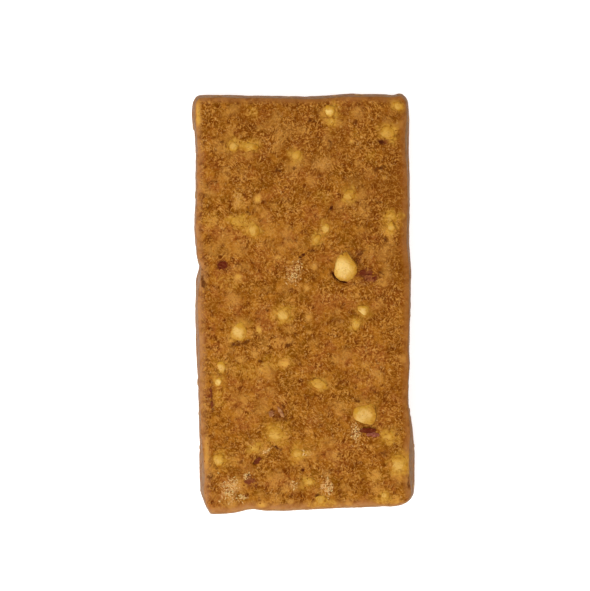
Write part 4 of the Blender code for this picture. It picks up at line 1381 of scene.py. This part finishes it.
def peanut_material():
    """Chopped peanut: pale and waxy where it is bare, browner where paste lies over it. Each piece is painted
    paler towards the light and yellower, as shade, on its filmed side.
    """
    paint = Paint("peanut")
    hair, bare, patchy = paint.hair(*HAIR), paint.mask("bare"), paint.cloud(*FLESH_PATCHES)
    # Painted light: far turns the flesh yellower on the filmed side, which is painted as the shaded side, and
    # core makes it palest towards the light
    far = paint.maths("ADD", paint.mask("far"), patchy)
    core = paint.maths("ADD", paint.mask("core"), patchy)
    flesh = paint.mix(
        PEANUT_GOLD,
        (paint.spread(core, *PALE_CORE), PEANUT_PALE),
        (paint.times(paint.mask("shade"), TAN_SHARE), PEANUT_TAN),
        (paint.spread(far, *SHADED_YELLOW_END), PEANUT_SHADED_YELLOW),
        (paint.times(paint.spread(hair, *FIBRES_SHOW), FIBRE_SHARE), FILM_GOLD),
        (paint.spread(bare, *COVERED_GOLD), PEANUT_GOLD),
    )
    showing = paint.maths("ADD", paint.times(core, CORE_SHOWS), paint.times(bare, BARE_SHOWS))
    showing = paint.times(paint.spread(showing, *FLESH_SHOWS), paint.spread(bare, *BARE_FLESH))
    pits = paint.times(paint.spread(hair, *FILM_PITS), paint.maths("SUBTRACT", 1.0, showing))
    colour = paint.mix(
        FILM_GOLD,
        (paint.cloud(*FILM_CLOUD), PASTE_OCHRE),
        (showing, flesh),
        (paint.times(pits, PIT_SHARE), PASTE_BROWN),
        # Pieces on the walls are dulled towards the walls' painted shaded sheen
        (paint.spread(bare, *DULL_ON_WALLS), WALL_SHADED_SHEEN),
        (paint.cloud(*FLESH_SPECKS), PASTE_SMEAR),
    )
    return paint.finish(PEANUT_SURFACE, Base_Color=colour, Normal=paint.bump(*PEANUT_BUMPS))


def skin_bit_material():
    """Papery red peanut skin, from deep maroon to pinkish brown."""
    paint = Paint("peanut_skin")
    shade = paint.mask("shade")
    colour = paint.mix(
        SKIN_PINK,
        (shade, SKIN_MAROON),
        (paint.spread(paint.noise(*SKIN_STREAKS), *SKIN_STREAKS_SHOW), SKIN_PINK),
        (paint.spread(shade, *ROSE_SKIN), SKIN_ROSE),
        (paint.spread(shade, *TAN_SKIN), SKIN_TAN),
        (paint.cloud(*SKIN_CLOUD), PASTE_RED),
    )
    return paint.finish(SKIN_SURFACE, Base_Color=colour, Normal=paint.bump(*SKIN_BUMPS))


def flake_material():
    """Dry pale flakes of sugar and peanut dust."""
    paint = Paint("dry_flake")
    colour = paint.mix(DRY_PALE, (paint.mask("shade"), FLAKE_WHITE))
    return paint.finish(FLAKE_SURFACE, Base_Color=colour, Normal=paint.bump(*FLAKE_BUMPS))


def crumb_material():
    """Crumbs: most as brown as the paste, some pale with peanut dust."""
    paint = Paint("crumb")
    shade = paint.mask("shade")
    colour = paint.mix(
        PASTE_BROWN,
        (paint.spread(shade, *LIGHT_CRUMBS), PASTE_LIGHT),
        (paint.spread(shade, *PALE_CRUMBS), PASTE_TIP),
    )
    return paint.finish(CRUMB_SURFACE, Base_Color=colour, Normal=paint.bump(*CRUMB_BUMPS))


# Floor, light and camera


def add_floor():
    """A wide white floor under the bar, lit from below like a photographer's light table."""
    mesh = bpy.data.meshes.new("floor")
    corners = [(x * FLOOR_REACH, y * FLOOR_REACH, 0) for x, y in ((-1, -1), (1, -1), (1, 1), (-1, 1))]
    mesh.from_pydata(corners, [], [(0, 1, 2, 3)])
    floor = new_object("floor", mesh, Paint("floor").finish(FLOOR_SURFACE))
    floor.location.z = -FLOOR_GAP


def add_light(name, place, size, watts):
    """A square soft light that looks at the bar."""
    light = bpy.data.lights.new(name, "AREA")
    light.size = size
    light.energy = watts
    lamp = bpy.data.objects.new(name, light)
    lamp.location = place
    lamp.rotation_euler = (-Vector(place)).to_track_quat("-Z", "Y").to_euler()
    bpy.context.scene.collection.objects.link(lamp)


def add_sky():
    """Even white light from all around."""
    world = bpy.data.worlds.new("sky")
    world.use_nodes = True
    world.node_tree.nodes["Background"].inputs["Color"].default_value = (1.0, 1.0, 1.0, 1.0)
    world.node_tree.nodes["Background"].inputs["Strength"].default_value = SKY_STRENGTH
    bpy.context.scene.world = world


def add_camera():
    """A long lens straight above, turned as the photograph's is."""
    camera = bpy.data.cameras.new("camera")
    camera.sensor_width = SENSOR_WIDTH
    seen = PHOTO_WIDTH * MM_PER_PIXEL * MM
    camera.lens = SENSOR_WIDTH * (CAMERA_HEIGHT - FOCUS_LEVEL) / seen
    camera.clip_start = CAMERA_CLIP
    eye = bpy.data.objects.new("camera", camera)
    eye.location = (*CAMERA_AIM, CAMERA_HEIGHT)
    eye.rotation_euler = (0.0, 0.0, CAMERA_ROLL)
    bpy.context.scene.collection.objects.link(eye)
    bpy.context.scene.camera = eye


def line_up_with_frame(pieces, measured):
    """Moves the pieces in plan so that the box of the measured ones lies where the CAD node's does."""
    points = np.array([v.co[:] for piece in measured for v in piece.data.vertices])
    low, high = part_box("bar")
    shift = (Vector(low) + Vector(high)) / 2 - Vector((points.min(axis=0) + points.max(axis=0)) / 2)
    shift.z = 0.0
    for piece in pieces:
        piece.data.transform(Matrix.Translation(shift))


def main():
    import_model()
    skin = make_skin(paste_material())
    tree = tree_of(skin)
    peanuts, skin_bits, flakes, crumbs = Heap(), Heap(), Heap(), Heap()
    add_top_peanuts(peanuts, tree)
    add_wall_peanuts(peanuts, tree)
    add_skin_bits(skin_bits, tree)
    add_flakes(flakes, tree)
    add_crumbs(crumbs, tree)
    pieces = [
        skin,
        peanuts.finish("peanut_pieces", peanut_material()),
        skin_bits.finish("peanut_skins", skin_bit_material()),
        flakes.finish("dry_flakes", flake_material()),
        crumbs.finish("crumbs", crumb_material()),
    ]
    line_up_with_frame(pieces, pieces[:2])
    for piece in pieces:
        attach(piece, "root")
    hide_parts("bar")

    add_floor()
    add_sky()
    for name, place, size, watts in LIGHTS:
        add_light(name, place, size, watts)
    add_camera()
    bpy.context.scene.view_settings.view_transform = "Standard"


main()
